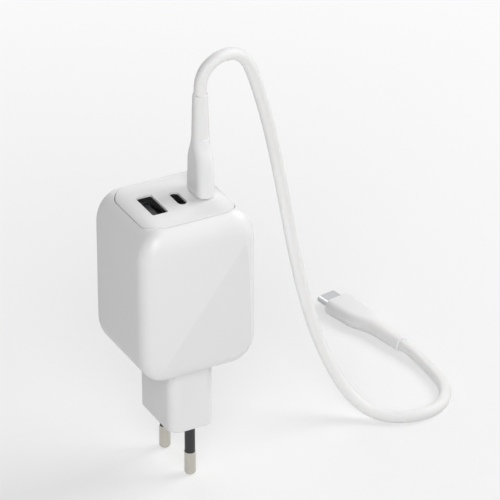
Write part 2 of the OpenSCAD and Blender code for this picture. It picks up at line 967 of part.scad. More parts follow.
// Plastic insert of the plug, with the slot that takes a port's tongue
module plug_insert() {
    root = plug_root - seat;
    inner_w = plug_shell_w - 2 * plug_sheet - 2 * fit;
    inner_t = plug_shell_t - 2 * plug_sheet - 2 * fit;
    difference() {
        translate([0, 0, -plug_shell_l + insert_recess])
            linear_extrude(plug_shell_l - insert_recess + root) slot(inner_w, inner_t);
        translate([0, 0, -plug_shell_l - over])
            linear_extrude(plug_shell_l - insert_back + over)
                square([plug_slot_t, plug_slot_w], center = true);
    }
}

module at_near_plug() {
    translate([end_x, 0, plug_z]) children();
}

module at_far_plug() {
    translate(free_at) rotate([0, 90, free_turn]) children();
}

module near_plug_grip() {
    color("#f4f4f4") at_near_plug() plug_grip();
}

module near_plug_relief() {
    color("#f4f4f4") at_near_plug() plug_relief();
}

module near_plug_shell() {
    color("#b4b7b9") at_near_plug() plug_shell();
}

module near_plug_insert() {
    color("#232324") at_near_plug() plug_insert();
}

module far_plug_grip() {
    color("#f4f4f4") at_far_plug() plug_grip();
}

module far_plug_relief() {
    color("#f4f4f4") at_far_plug() plug_relief();
}

module far_plug_shell() {
    color("#b4b7b9") at_far_plug() plug_shell();
}

module far_plug_insert() {
    color("#232324") at_far_plug() plug_insert();
}

// Cable

// The cable's route, chosen by hand: up out of the seated plug, over in an arch,
// down to the surface and along it in a loose bend to the free plug
route = [
    [end_x, 0, plug_z + plug_l + relief_l],
    [10.3, 0.1, 125.5],
    [12.7, 0.4, 129.3],
    [17, 0.8, 131.6],
    [21.9, 1.6, 131.5],
    [25.9, 2.5, 129.5],
    [29.3, 3.5, 125.5],
    [32.2, 4.5, 119],
    [35.4, 5.8, 110],
    [39, 7.2, 98.5],
    [42.4, 8.6, 85.5],
    [45.6, 9.7, 71.5],
    [48.6, 10.4, 56.5],
    [51.5, 10.5, 41.5],
    [54.4, 9.5, 27],
    [57.4, 7.1, 13.5],
    [60.9, 3.2, 1.5],
    [65, -2, -8.6],
    [69.9, -7.6, -14.6],
    [75.8, -12.8, -16.8],
    [82.6, -16.4, -16.8],
    [89.8, -17, -16.8],
    [96.4, -14.4, -16.8],
    [101, -9.2, -16.8],
    [103.5, -2.6, -16.8],
    [104.4, 4.6, -16.8],
    [104.6, 12, -16.6],
    [104.1, 18.8, -16],
    free_at + (plug_l + relief_l) * free_axis
];

// Catmull-Rom points between the points of the route
function spline(a, b, c, d, t) =
    0.5 * (2 * b + (c - a) * t + (2 * a - 5 * b + 4 * c - d) * t * t
           + (3 * b - a - 3 * c + d) * t * t * t);
last = len(route) - 1;
function route_at(i) = i < 0 ? 2 * route[0] - route[1]
                     : i > last ? 2 * route[last] - route[last - 1] : route[i];
path = [
    for (i = [0:last - 1], s = [0:cable_steps - 1])
        spline(route_at(i - 1), route[i], route[i + 1], route_at(i + 2), s / cable_steps),
    route[last]
];
function unit(v) = v / norm(v);
// The two end rings lie square on the reliefs' faces
function tangent(i) = i == 0 ? [0, 0, 1]
                    : i == len(path) - 1 ? -free_axis : unit(path[i + 1] - path[i - 1]);
// Each ring's side vector is carried on from the last, so that the tube doesn't twist
sides = [
    for (i = 0, v = [1, 0, 0]; i < len(path);
         i = i + 1, v = i < len(path) ? unit(v - (v * tangent(i)) * tangent(i)) : v)
        unit(v - (v * tangent(i)) * tangent(i))
];

module cable() {
    n = cable_sides;
    rings = len(path);
    points = [
        for (i = [0:rings - 1], k = [0:n - 1])
            path[i] + cable_d / 2 * (cos(360 * k / n) * sides[i]
                                     + sin(360 * k / n) * cross(tangent(i), sides[i]))
    ];
    walls = [
        for (i = [0:rings - 2], k = [0:n - 1])
            let (a = i * n + k, b = i * n + (k + 1) % n)
                each [[a, a + n, b], [b, a + n, b + n]]
    ];
    caps = [[for (k = [0:n - 1]) k], [for (k = [n - 1:-1:0]) (rings - 1) * n + k]];
    color("#f4f4f4") polyhedron(points, concat(walls, caps));
}

housing_shell();
port_panel();
plug_head();
pin_live();
pin_neutral();
sleeve_live();
sleeve_neutral();
contact_strip_live();
contact_strip_neutral();
main_board();
filter_board();
port_board();
large_port_shell();
large_port_tongue();
large_port_contacts();
middle_port_shell();
middle_port_tongue();
end_port_shell();
end_port_tongue();
transformer_core();
transformer_bobbin();
transformer_winding();
mains_capacitor_front();
mains_capacitor_rear();
choke_ring();
choke_windings();
filter_capacitor();
fuse();
bridge_rectifier();
safety_capacitor();
power_transistor();
thermal_pad();
heat_spreader();
output_capacitor_left();
output_capacitor_right();
output_inductor_left();
output_inductor_right();
port_controller();
insulation_sheet();
cable();
near_plug_grip();
near_plug_relief();
near_plug_shell();
near_plug_insert();
far_plug_grip();
far_plug_relief();
far_plug_shell();
far_plug_insert();
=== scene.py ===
"""A white wall charger with its cable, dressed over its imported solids.

Sizes are written in millimetres and turned to metres where a mesh is made.
The frame is that of the solids: the origin is the centre of the plug head's
lower face, +Z points up to the ports, +X along their row, -Y to the front.
"""

import json
import logging
import math
from dataclasses import dataclass, field
from enum import Enum
from typing import Any, Callable, Mapping, Sequence

import bmesh
import bpy
import numpy as np
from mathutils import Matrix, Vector

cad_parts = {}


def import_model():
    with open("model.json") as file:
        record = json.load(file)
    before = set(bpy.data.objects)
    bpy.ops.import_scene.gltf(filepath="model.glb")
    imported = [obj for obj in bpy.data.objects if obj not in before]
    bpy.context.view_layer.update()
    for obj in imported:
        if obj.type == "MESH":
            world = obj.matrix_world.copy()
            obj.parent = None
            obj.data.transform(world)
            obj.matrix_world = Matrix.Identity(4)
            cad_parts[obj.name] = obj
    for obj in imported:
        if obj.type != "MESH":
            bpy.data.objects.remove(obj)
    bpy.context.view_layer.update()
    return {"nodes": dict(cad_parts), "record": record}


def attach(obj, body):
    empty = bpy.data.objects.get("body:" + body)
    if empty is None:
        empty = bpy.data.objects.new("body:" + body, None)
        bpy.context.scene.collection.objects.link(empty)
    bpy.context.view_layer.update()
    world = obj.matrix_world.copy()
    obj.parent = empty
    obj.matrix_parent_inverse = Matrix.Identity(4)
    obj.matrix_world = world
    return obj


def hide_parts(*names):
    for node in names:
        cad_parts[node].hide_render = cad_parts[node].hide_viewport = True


LOG = logging.getLogger("wall_charger")
MM = 0.001
BODY = "root"
# Distance in metres under which two points are one
SAME = 1e-7


# Colour and nodes


def linear(code: str) -> tuple[float, float, float, float]:
    """Turns an sRGB hex colour to linear light.

    Args:
        code: The colour as six hex digits after a hash sign.

    Returns:
        Linear red, green and blue, and an alpha of 1.
    """
    parts = [int(code[i : i + 2], 16) / 255 for i in (1, 3, 5)]
    lin = [c / 12.92 if c <= 0.04045 else ((c + 0.055) / 1.055) ** 2.4 for c in parts]
    return (lin[0], lin[1], lin[2], 1.0)


def add_node(
    tree: bpy.types.NodeTree,
    kind: str,
    settings: Mapping[str | int, Any] | None = None,
    links: Mapping[str | int, bpy.types.NodeSocket | bpy.types.Node] | None = None,
) -> bpy.types.Node:
    """Adds one node to a tree.

    Args:
        tree: The tree that the node joins.
        kind: The node's type name.
        settings: Values of the node's own properties by name, or of its inputs
            by name or number.
        links: What feeds an input, by the input's name or number: an output
            socket, or a node for its first one.

    Returns:
        The new node.
    """
    node = tree.nodes.new(kind)
    for name, value in (settings or {}).items():
        if isinstance(name, int) or name in node.inputs:
            node.inputs[name].default_value = value
        else:
            setattr(node, name, value)
    for name, source in (links or {}).items():
        socket = source.outputs[0] if isinstance(source, bpy.types.Node) else source
        tree.links.new(socket, node.inputs[name])
    return node


def put_in_scene(name: str, data: bpy.types.ID) -> bpy.types.Object:
    """Makes an object at the origin and links it to the scene.

    Args:
        name: The object's name.
        data: Its mesh, camera or lamp.

    Returns:
        The new object.
    """
    thing = bpy.data.objects.new(name, data)
    bpy.context.scene.collection.objects.link(thing)
    return thing


# Finishes


class Pattern(Enum):
    """The surface structure that a finish draws."""

    GRAIN = "even fine grain, as spark-eroded tools leave on a moulding"
    BRUSHED = "long parallel lines, as rolling and brushing leave"
    BANDS = "parallel bands, as turns of wire or tape"
    SPECKLE = "small cells, as in ground ceramic or woven board"


@dataclass(frozen=True)
class Finish:
    """One real material and how its surface was made.

    The colour varies between two close tones, and the roughness between two
    values, on the same pattern that the bump follows.

    Attributes:
        name: The material and how its surface was made.
        colour: Its sRGB colour where the pattern is low.
        tone: Its sRGB colour where the pattern is high.
        roughness: Its roughness at the same two places.
        pattern: The surface's structure.
        grain_mm: Size of one grain, line or band.
        bump_mm: Height of the relief.
        coat: Weight of a clear coat.
        soft: Weight of the light that scatters inside.
        stretch: Scale of the pattern along X, Y and Z.
    """

    name: str
    colour: str
    tone: str
    roughness: tuple[float, float]
    pattern: Pattern = Pattern.GRAIN
    grain_mm: float = 0.4
    bump_mm: float = 0.004
    metallic: float = 0.0
    ior: float = 1.5
    coat: float = 0.0
    soft: float = 0.0
    stretch: tuple[float, float, float] = (1.0, 1.0, 1.0)

    def _structure(self, tree: bpy.types.NodeTree) -> bpy.types.NodeSocket:
        """Adds the pattern's nodes.

        Args:
            tree: The material's tree.

        Returns:
            The socket that gives the pattern's height, from 0 to 1.
        """
        place = add_node(tree, "ShaderNodeTexCoord")
        turned = add_node(
            tree, "ShaderNodeMapping", {"Scale": self.stretch}, {"Vector": place.outputs["Object"]}
        )
        scale = 1.0 / (self.grain_mm * MM)
        wave_turn = 20  # radians that the wave texture turns in a unit of its scale
        if self.pattern is Pattern.BANDS:
            node = add_node(
                tree,
                "ShaderNodeTexWave",
                {"Scale": scale / wave_turn, "Distortion": 0.4, "bands_direction": "Z"},
                {"Vector": turned},
            )
            return node.outputs["Fac"]
        if self.pattern is Pattern.SPECKLE:
            node = add_node(
                tree, "ShaderNodeTexVoronoi", {"Scale": scale}, {"Vector": turned}
            )
            return node.outputs["Distance"]
        node = add_node(
            tree,
            "ShaderNodeTexNoise",
            {"Scale": scale, "Detail": 3.0, "Roughness": 0.55},
            {"Vector": turned},
        )
        return node.outputs["Fac"]

    def build(self) -> bpy.types.Material:
        """Builds the material, or returns the one already built.

        Returns:
            The material of this finish.
        """
        found = bpy.data.materials.get(self.name)
        if found is not None:
            return found
        material = bpy.data.materials.new(self.name)
        material.use_nodes = True
        tree = material.node_tree
        tree.nodes.clear()
        height = self._structure(tree)
        # Inputs 6 and 7 of a colour mix are its colours, and output 2 is the result
        blend = add_node(
            tree,
            "ShaderNodeMix",
            {"data_type": "RGBA", 6: linear(self.colour), 7: linear(self.tone)},
            {"Factor": height},
        )
        rough = add_node(
            tree,
            "ShaderNodeMapRange",
            {"To Min": self.roughness[0], "To Max": self.roughness[1]},
            {"Value": height},
        )
        bump = add_node(
            tree,
            "ShaderNodeBump",
            {"Strength": 0.6, "Distance": self.bump_mm * MM},
            {"Height": height},
        )
        shader = add_node(
            tree,
            "ShaderNodeBsdfPrincipled",
            {
                "Metallic": self.metallic,
                "IOR": self.ior,
                "Coat Weight": self.coat,
                "Subsurface Weight": self.soft,
                "Subsurface Scale": 1.2 * MM,
            },
            {"Base Color": blend.outputs[2], "Roughness": rough, "Normal": bump},
        )
        add_node(tree, "ShaderNodeOutputMaterial", None, {"Surface": shader})
        return material


# The planed side of the front is coloured a shade darker than the housing: painted shade along the
# crease. Its grain is also closer
FACET_PAINTED_SHADE = Finish(
    "white polycarbonate, crease facet, darker as painted shade",
    "#ececec", "#e6e6e6", (0.3, 0.38), grain_mm=0.3, bump_mm=0.004, ior=1.58,
)

# By material slot. A real grain or line of 0.02 to 0.1 mm is too fine to show,
# so it is drawn at 0.2 to 0.4 mm
FINISHES: dict[str, Finish] = {
    # Moulded against an eroded tool: a fine even matt that spreads highlights
    "housing": Finish(
        "white polycarbonate, fine spark-eroded grain",
        "#f0f0f0", "#eaeaea", (0.36, 0.46), grain_mm=0.35, bump_mm=0.006, ior=1.58,
    ),
    # The same plastic with a lower grain and a little less gloss
    "panel": Finish(
        "white polycarbonate panel, smoother grain",
        "#eeeeee", "#e8e8e8", (0.4, 0.5), grain_mm=0.35, bump_mm=0.004, ior=1.58,
    ),
    # Soft elastomer of the cable: duller and slightly translucent
    "jacket": Finish(
        "white thermoplastic elastomer, extruded",
        "#f0f0ef", "#ebebea", (0.48, 0.58), grain_mm=0.3, bump_mm=0.003, soft=0.05,
    ),
    # The same elastomer, moulded: an even soft matt
    "grip": Finish(
        "white elastomer grip, moulded",
        "#f1f1f1", "#ececec", (0.4, 0.5), grain_mm=0.4, bump_mm=0.004,
    ),
    # Turned brass under bright nickel: a warm mirror with turning lines
    "pin": Finish(
        "nickel-plated brass, turned", "#cdcac2", "#bbb7ad", (0.14, 0.24),
        Pattern.BRUSHED, 0.3, 0.003, metallic=1.0, stretch=(0.05, 0.05, 1.0),
    ),
    # Nylon takes the tool's matt: broad soft highlights on near black
    "sleeve": Finish("black nylon sleeve, moulded", "#242426", "#2d2d30", (0.42, 0.55)),
    # Rolled brass: yellow, with fine lines along the strip
    "strip": Finish(
        "rolled brass strip", "#c59a58", "#b3874a", (0.25, 0.38),
        Pattern.BRUSHED, 0.3, 0.003, metallic=1.0, stretch=(0.08, 1.0, 1.0),
    ),
    # Glass-fibre board under solder mask: the weave shows through the lacquer
    "board": Finish(
        "green solder mask on woven glass board", "#1f5a33", "#2a6f42", (0.22, 0.34),
        Pattern.SPECKLE, 0.7, 0.01, coat=0.3,
    ),
    # Nickel over rolled steel: a grey mirror blurred along the rolling
    "port_metal": Finish(
        "nickel-plated steel sheet, rolled", "#b7b9bb", "#a3a5a7", (0.22, 0.36),
        Pattern.BRUSHED, 0.25, 0.002, metallic=1.0, stretch=(1.0, 0.06, 1.0),
    ),
    # Heat-proof plastic of the tongues: dull near black. It also lines the openings' walls, where
    # its dark is painted shade
    "port_plastic": Finish(
        "black liquid-crystal polymer, moulded", "#1b1b1c", "#262628", (0.4, 0.55)
    ),
    # Gold over copper: a small warm glint
    "contact": Finish(
        "gold-plated contact", "#dcb565", "#c9a152", (0.18, 0.28),
        Pattern.BRUSHED, 0.2, 0.002, metallic=1.0, stretch=(1.0, 1.0, 0.08),
    ),
    # Ground ceramic: dark, dull and faintly speckled
    "ferrite": Finish(
        "ground ferrite", "#46494c", "#585b5f", (0.5, 0.65), Pattern.SPECKLE, 0.35, 0.01,
    ),
    # Phenolic from a plain tool: dull black
    "bobbin": Finish("black phenolic bobbin, moulded", "#1c1c1d", "#262627", (0.4, 0.5)),
    # Film wound in turns: glossy bands
    "tape": Finish(
        "yellow polyester tape, wound", "#dcae2e", "#c99c22", (0.2, 0.32),
        Pattern.BANDS, 1.2, 0.02,
    ),
    # Film shrunk on: a slow uneven gloss
    "capacitor_sleeve": Finish(
        "dark blue shrink sleeve", "#26324a", "#303d58", (0.2, 0.3), grain_mm=1.5,
    ),
    # Varnished wire side by side: glossy copper lines
    "winding": Finish(
        "enamelled copper wire, wound", "#b0582a", "#8f4520", (0.2, 0.35),
        Pattern.BANDS, 0.5, 0.05, metallic=0.8,
    ),
    # A smooth moulded box: half matt
    "film_box": Finish("yellow polypropylene box, moulded", "#c9a227", "#bb9520", (0.35, 0.45)),
    # Film shrunk on: a soft gloss
    "fuse_tube": Finish("brown shrink sleeve", "#3e2c20", "#4a3627", (0.25, 0.4)),
    # Epoxy full of filler: dull and finely grained
    "chip": Finish("black epoxy moulding", "#202122", "#2b2c2e", (0.45, 0.6), grain_mm=0.25),
    # Dipped and cured: a wet gloss with a slow wave
    "disc": Finish("blue epoxy dip", "#2a66a8", "#235a97", (0.2, 0.3), grain_mm=1.2, coat=0.4),
    # Filled silicone: quite dull
    "pad": Finish("grey silicone pad", "#8b939d", "#7f8791", (0.6, 0.75)),
    # Rolled aluminium: bright, blurred along its lines
    "spreader": Finish(
        "rolled aluminium sheet", "#c9cbcd", "#b9bbbe", (0.25, 0.4),
        Pattern.BRUSHED, 0.3, 0.003, metallic=1.0, stretch=(1.0, 1.0, 0.06),
    ),
    # Drawn aluminium: bright, blurred along its lines
    "can": Finish(
        "drawn aluminium can", "#c4c6c9", "#b3b6b9", (0.22, 0.34),
        Pattern.BRUSHED, 0.3, 0.003, metallic=1.0, stretch=(1.0, 1.0, 0.06),
    ),
    # Pressed fibres: matt and slightly mottled
    "sheet": Finish("insulating card", "#e3dcc2", "#d7cfb2", (0.7, 0.85), grain_mm=0.6),
    # Drawn stainless steel: satin, with fine lines round the shell
    "plug_metal": Finish(
        "satin stainless steel, drawn", "#bfc1c3", "#adafb1", (0.24, 0.36),
        Pattern.BRUSHED, 0.25, 0.002, metallic=1.0, stretch=(1.0, 0.06, 1.0),
    ),
}


# Mesh building

# Steps of a quarter's arc and of the straight side after it, on every outline
ARC = 14
SIDE = 7
# Steps of a round bend and of a flat field, from ring to ring
BEND_STEPS = 13
FIELD_STEPS = 9
# Shares of a bend's rise and of its side up to which its slope stays finite
NEAR_TOP = 0.999999
NEAR_SIDE = 0.9999
Ring = np.ndarray


def straight_and_arc(corner: np.ndarray, half: tuple[float, float]) -> np.ndarray:
    """Lays a quarter's arc points into a whole closed outline.

    Args:
        corner: Points of the first quadrant's arc, past the straight halves,
            from the +X side to the +Y side.
        half: Half lengths of the straight sides, along X and Y.

    Returns:
        The outline's points in the plane, anticlockwise, ARC + SIDE a quarter.
    """
    hx, hy = half
    quads = []
    for sx, sy, flip in ((1, 1, False), (-1, 1, True), (-1, -1, False), (1, -1, True)):
        arc = corner[::-1] if flip else corner
        quads.append(np.column_stack((sx * (hx + arc[:, 0]), sy * (hy + arc[:, 1]))))
    points = []
    for i, quad in enumerate(quads):
        after = quads[(i + 1) % 4][0]
        points.extend(quad)
        for k in range(1, SIDE):
            points.append(quad[-1] + (after - quad[-1]) * k / SIDE)
    return np.array(points)


def rounded_outline(width: float, depth: float, radius: float, grow: float = 0.0) -> np.ndarray:
    """Gives a rectangle with round corners.

    Args:
        width: Size along X.
        depth: Size along Y.
        radius: Corner radius.
        grow: Distance by which the outline is moved outwards.

    Returns:
        The outline's points in the plane.
    """
    angles = np.linspace(0, math.pi / 2, ARC + 1)
    reach = radius + grow
    corner = reach * np.column_stack((np.cos(angles), np.sin(angles)))
    return straight_and_arc(corner, (width / 2 - radius, depth / 2 - radius))


def lift(outline: np.ndarray, height: float | np.ndarray) -> Ring:
    """Stands an outline at a height, or at one height for each point."""
    return np.column_stack((outline, np.broadcast_to(height, (len(outline),))))


def slope_for(
    reach: Callable[[np.ndarray], np.ndarray], goal: float | np.ndarray, count: int
) -> np.ndarray:
    """Finds, by halving, the slopes at which a growing reach meets its goal.

    Args:
        reach: Gives the reach at each slope.
        goal: The reach that is wanted.
        count: Number of slopes.

    Returns:
        The slopes, as tangents.
    """
    low, high = np.zeros(count), np.full(count, math.pi / 2 - 1e-9)
    for _ in range(60):
        mid = (low + high) / 2
        short = reach(np.tan(mid)) < goal
        low = np.where(short, mid, low)
        high = np.where(short, high, mid)
    return np.tan(low)


class Shell:
    """A mesh made of rings of equal length, bridged one after another."""

    # Turn past which the edge of a flat field stays crisp
    FIELD_EDGE = math.radians(8)
    # How much large faces count in the even shading, where 50 is neutral
    FACE_WEIGHT = 80

    def __init__(self) -> None:
        """Starts an empty mesh."""
        self.mesh = bmesh.new()
        self.hard: list[bmesh.types.BMEdge] = []
        self.fields: list[float] = []

    def crisp(self, edges: Sequence[bmesh.types.BMEdge]) -> None:
        """Keeps edges crisp however little they turn."""
        self.hard.extend(edges)

    def bridge(self, rings: Sequence[Ring], closed: bool = False, ends: bool = False) -> None:
        """Lays rings and joins each to the next with quads.

        Args:
            rings: The rings in order, in millimetres.
            closed: Whether the last ring joins the first.
            ends: Whether the first and the last ring are filled.
        """
        laid = [[self.mesh.verts.new(Vector(p) * MM) for p in ring] for ring in rings]
        pairs = list(zip(laid, laid[1:]))
        if closed:
            pairs.append((laid[-1], laid[0]))
        for low, high in pairs:
            n = len(low)
            for i in range(n):
                self.mesh.faces.new((low[i], low[(i + 1) % n], high[(i + 1) % n], high[i]))
        if ends:
            self.mesh.faces.new(laid[0])
            self.mesh.faces.new(laid[-1])

    def flat(self, height: float) -> None:
        """Asks for a flat field at a height, between the edges left open there."""
        self.fields.append(height)

    def _close(self) -> None:
        """Merges what coincides and fills the flat fields."""
        bmesh.ops.remove_doubles(self.mesh, verts=self.mesh.verts, dist=SAME)
        for height in self.fields:
            edges = [
                e
                for e in self.mesh.edges
                if e.is_boundary and all(abs(v.co.z - height * MM) < SAME for v in e.verts)
            ]
            bmesh.ops.triangle_fill(self.mesh, use_beauty=True, edges=edges)
            bmesh.ops.recalc_face_normals(self.mesh, faces=self.mesh.faces)
            self.crisp([e for e in edges if e.calc_face_angle(0.0) > self.FIELD_EDGE])

    def block(self, low: Sequence[float], high: Sequence[float]) -> None:
        """Adds a closed box.

        Args:
            low: Its lowest corner, in millimetres.
            high: Its highest corner.
        """
        made = bmesh.ops.create_cube(self.mesh, size=1.0)["verts"]
        a, b = np.array(low, float), np.array(high, float)
        for vert in made:
            vert.co = Vector(((a + b) / 2 + np.array(vert.co) * (b - a)) * MM)

    def finish(
        self, name: str, slot: str, replaced: Sequence[str], sharp: float = 32.0
    ) -> bpy.types.Object:
        """Closes the mesh into a piece that rides with the object.

        Args:
            name: The piece's name.
            slot: The material slot that it takes its finish from.
            replaced: The solids that the piece stands for.
            sharp: Angle in degrees past which an edge stays crisp.

        Returns:
            The finished object.
        """
        bm = self.mesh
        self._close()
        bmesh.ops.dissolve_degenerate(bm, edges=bm.edges, dist=SAME)
        bmesh.ops.recalc_face_normals(bm, faces=bm.faces)
        for face in bm.faces:
            face.smooth = True
        turn = math.radians(sharp)
        for edge in bm.edges:
            edge.smooth = len(edge.link_faces) == 2 and edge.calc_face_angle() < turn
        for edge in self.hard:
            if edge.is_valid:
                edge.smooth = False
        data = bpy.data.meshes.new(name)
        bm.to_mesh(data)
        bm.free()
        piece = put_in_scene(name, data)
        data.materials.append(FINISHES[slot].build())
        weighted = piece.modifiers.new("even shading", "WEIGHTED_NORMAL")
        weighted.keep_sharp = True
        weighted.weight = self.FACE_WEIGHT
        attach(piece, BODY)
        if replaced:
            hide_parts(*replaced)
        LOG.info("%s: %d faces", name, len(data.polygons))
        return piece


# Housing


@dataclass
class Housing:
    """The soft-cornered box, its recess for the panel and its front crease.

    The form is a flat prism with round corners, softened all over by an
    ellipsoid, so a point of it is one of the prism plus one of the ellipsoid
    at the same outward direction.

    Attributes:
        middle: Height of the form's middle.
        face_r: Corner radius of the prism, as seen from the front.
        edge: Half axes of the ellipsoid.
        crease_point: A point of the plane that takes off the lower right.
        crease_normal: That plane's outward direction.
        panel: Width, depth and corner radius of the panel.
        seam: Gap round the panel.
        recess_z: Height of the recess's floor, on which the panel lies.
        ledge: Width and thickness of that floor.
        neck: Width, depth and corner radius of the hole for the plug head.
        boards: Places along X of the boards that the ribs guide.
        rib: A rib's width, its distance from the middle, its foot and its top.
        edge_round: Radius of the edges of both holes.
        shoulder: How far under the top the level rings end, outside and inside.
        recess_lip: Drop of the ring below the mouth, and its greatest height.
        rib_root: How far a rib reaches into the wall.
        rib_slot: Depth of a rib's slot, and how far its floor laps the rib.
        wall_levels: Rings of the upright wall, as shares of half its height.
        last_step: Least distance of the last two rings of an open top.
        lip_turns: Rings over the mouth's edge, as shares of its quarter turn.
        neck_corner: Radius of the inner edge of the hole for the plug head.
    """

    width: float = 43.0
    depth: float = 40.0
    height: float = 58.5
    middle: float = 54.25
    wall: float = 2.0
    face_r: float = 3.5
    edge: tuple[float, float, float] = (5.5, 6.0, 8.0)
    crease_point: tuple[float, float, float] = (1.597, -20.0, 53.046)
    crease_normal: tuple[float, float, float] = (0.0209, -0.9997, -0.0158)
    panel: tuple[float, float, float] = (34.0, 31.0, 7.0)
    seam: float = 0.25
    recess_z: float = 79.8
    ledge: tuple[float, float] = (1.4, 2.0)
    neck: tuple[float, float, float] = (17.2, 25.2, 4.1)
    boards: tuple[float, float] = (-12.6, 14.2)
    board_t: float = 1.2
    rib: tuple[float, float, float, float] = (4.0, 13.0, 30.0, 66.7)
    edge_round: float = 0.18
    shoulder: tuple[float, float] = (2.6, 1.2)
    recess_lip: tuple[float, float] = (0.6, 82.0)
    board_clear: float = 0.1
    rib_root: float = 0.4
    rib_slot: tuple[float, float] = (0.7, 0.2)
    wall_levels: tuple[float, float, float] = (-0.5, 0.0, 0.5)
    last_step: float = 0.3
    lip_turns: tuple[float, float] = (0.4, 1.0)
    neck_corner: float = 0.05

    def cross_section(self, z: float, inset: float = 0.0) -> Ring:
        """Cuts the housing's form at a height.

        Args:
            z: Height in the object's frame.
            inset: Distance by which the form is taken in.

        Returns:
            The ring of points at that height.
        """
        ex, ey, ez = (e - inset for e in self.edge)
        half = self.height / 2 - self.edge[2] - self.face_r
        over = max(0.0, abs(z - self.middle) - half)
        over = min(over, (self.face_r + ez) * NEAR_TOP)
        angle = np.linspace(0, math.pi / 2, ARC + 1)
        c, s = np.maximum(np.cos(angle), 1e-7), np.sin(angle)

        def size(slope: np.ndarray) -> np.ndarray:
            """Gives the ellipsoid's divisor at each slope."""
            return np.sqrt((ex * c) ** 2 + (ey * s) ** 2 + (ez * slope) ** 2)

        def rise(slope: np.ndarray) -> np.ndarray:
            """Gives the form's rise at each slope."""
            return self.face_r * slope / np.hypot(c, slope) + ez**2 * slope / size(slope)

        t = slope_for(rise, over, ARC + 1) if over > 0 else np.zeros(ARC + 1)
        x = self.face_r * c / np.hypot(c, t) + ex**2 * c / size(t)
        y = ey**2 * s / size(t)
        outline = straight_and_arc(np.column_stack((x, y)), self.flat_half())
        return lift(outline, z)

    def flat_half(self) -> tuple[float, float]:
        """Gives half the form's flat field, along X and Y."""
        return (self.width / 2 - self.edge[0] - self.face_r, self.depth / 2 - self.edge[1])

    def drop(self, outline: np.ndarray, inset: float = 0.0) -> np.ndarray:
        """Measures how far the form's top lies below its highest level.

        Args:
            outline: Points in the plane.
            inset: Distance by which the form is taken in.

        Returns:
            The drop at each point.
        """
        ex, ey, ez = (e - inset for e in self.edge)
        hx, hy = self.flat_half()
        x = np.maximum(0, np.abs(outline[:, 0]) - hx)
        y = np.maximum(0, np.abs(outline[:, 1]) - hy)
        y = np.minimum(y, ey * NEAR_SIDE)

        def across(a: np.ndarray) -> tuple[np.ndarray, np.ndarray]:
            """Solves the form's top at given slopes.

            Args:
                a: The slopes along X.

            Returns:
                The reach along X and the height.
            """
            b = y * np.sqrt((ex * a) ** 2 + ez**2) / (ey * np.sqrt(ey**2 - y**2))
            size = np.sqrt((ex * a) ** 2 + (ey * b) ** 2 + ez**2)
            reach = self.face_r * a / np.sqrt(a**2 + 1) + ex**2 * a / size
            return reach, self.face_r / np.sqrt(a**2 + 1) + ez**2 / size

        slopes = slope_for(lambda a: across(a)[0], x, len(x))
        return self.face_r + ez - across(slopes)[1]

    def cap(self, outline: np.ndarray, top: bool, inset: float = 0.0) -> Ring:
        """Lays an outline on the form's top or bottom.

        Args:
            outline: Points in the plane.
            top: Whether it lies on the top.
            inset: Distance by which the form is taken in.

        Returns:
            The ring of points.
        """
        half = self.height / 2 - inset
        level = half - self.drop(outline, inset)
        return lift(outline, self.middle + (level if top else -level))

    def skin(
        self, bottom: np.ndarray, top: np.ndarray, inset: float, top_z: float | None = None
    ) -> list[Ring]:
        """Gives the rings of the form from a hole below to a hole above.

        Args:
            bottom: Outline of the hole in the bottom.
            top: Outline of the hole in the top.
            inset: Distance by which the form is taken in.
            top_z: Height where the rings end, in place of the hole above.

        Returns:
            The rings, from the lower hole to the upper one.
        """
        ez = self.edge[2] - inset
        half = self.height / 2 - self.edge[2] - self.face_r
        reach = self.face_r + ez
        shoulder = self.shoulder[0] if inset == 0 else self.shoulder[1]
        angles = np.linspace(0, math.asin(1 - shoulder / reach), BEND_STEPS)
        rises = half + reach * np.sin(angles)
        levels = [-r for r in rises[::-1]] + [half * f for f in self.wall_levels] + list(rises)
        levels = [self.middle + v for v in levels]
        if top_z is not None:
            levels = [z for z in levels if z < top_z - self.last_step] + [top_z]
        rings = [self.cross_section(z, inset) for z in levels]
        low = [
            self.cap(bottom + (rings[0][:, :2] - bottom) * f, False, inset)
            for f in np.linspace(0, 1, FIELD_STEPS)[:-1]
        ]
        if top_z is not None:
            return low + rings
        high = [
            self.cap(top + (rings[-1][:, :2] - top) * f, True, inset)
            for f in np.linspace(1, 0, FIELD_STEPS)[1:]
        ]
        return low + rings + high

    def _crease(self, shell: Shell) -> None:
        """Planes the lower right of the front off, which leaves a diagonal crease.

        Args:
            shell: The housing's mesh.
        """
        bm = shell.mesh
        cut = bmesh.ops.bisect_plane(
            bm,
            geom=[*bm.verts, *bm.edges, *bm.faces],
            dist=SAME,
            plane_co=Vector(self.crease_point) * MM,
            plane_no=Vector(self.crease_normal),
            clear_outer=True,
        )
        rim = [e for e in cut["geom_cut"] if isinstance(e, bmesh.types.BMEdge)]
        for face in bmesh.ops.holes_fill(bm, edges=rim, sides=0)["faces"]:
            # The facet takes the second material, whose darker colour is painted shade
            face.material_index = 1
        shell.crisp(rim)

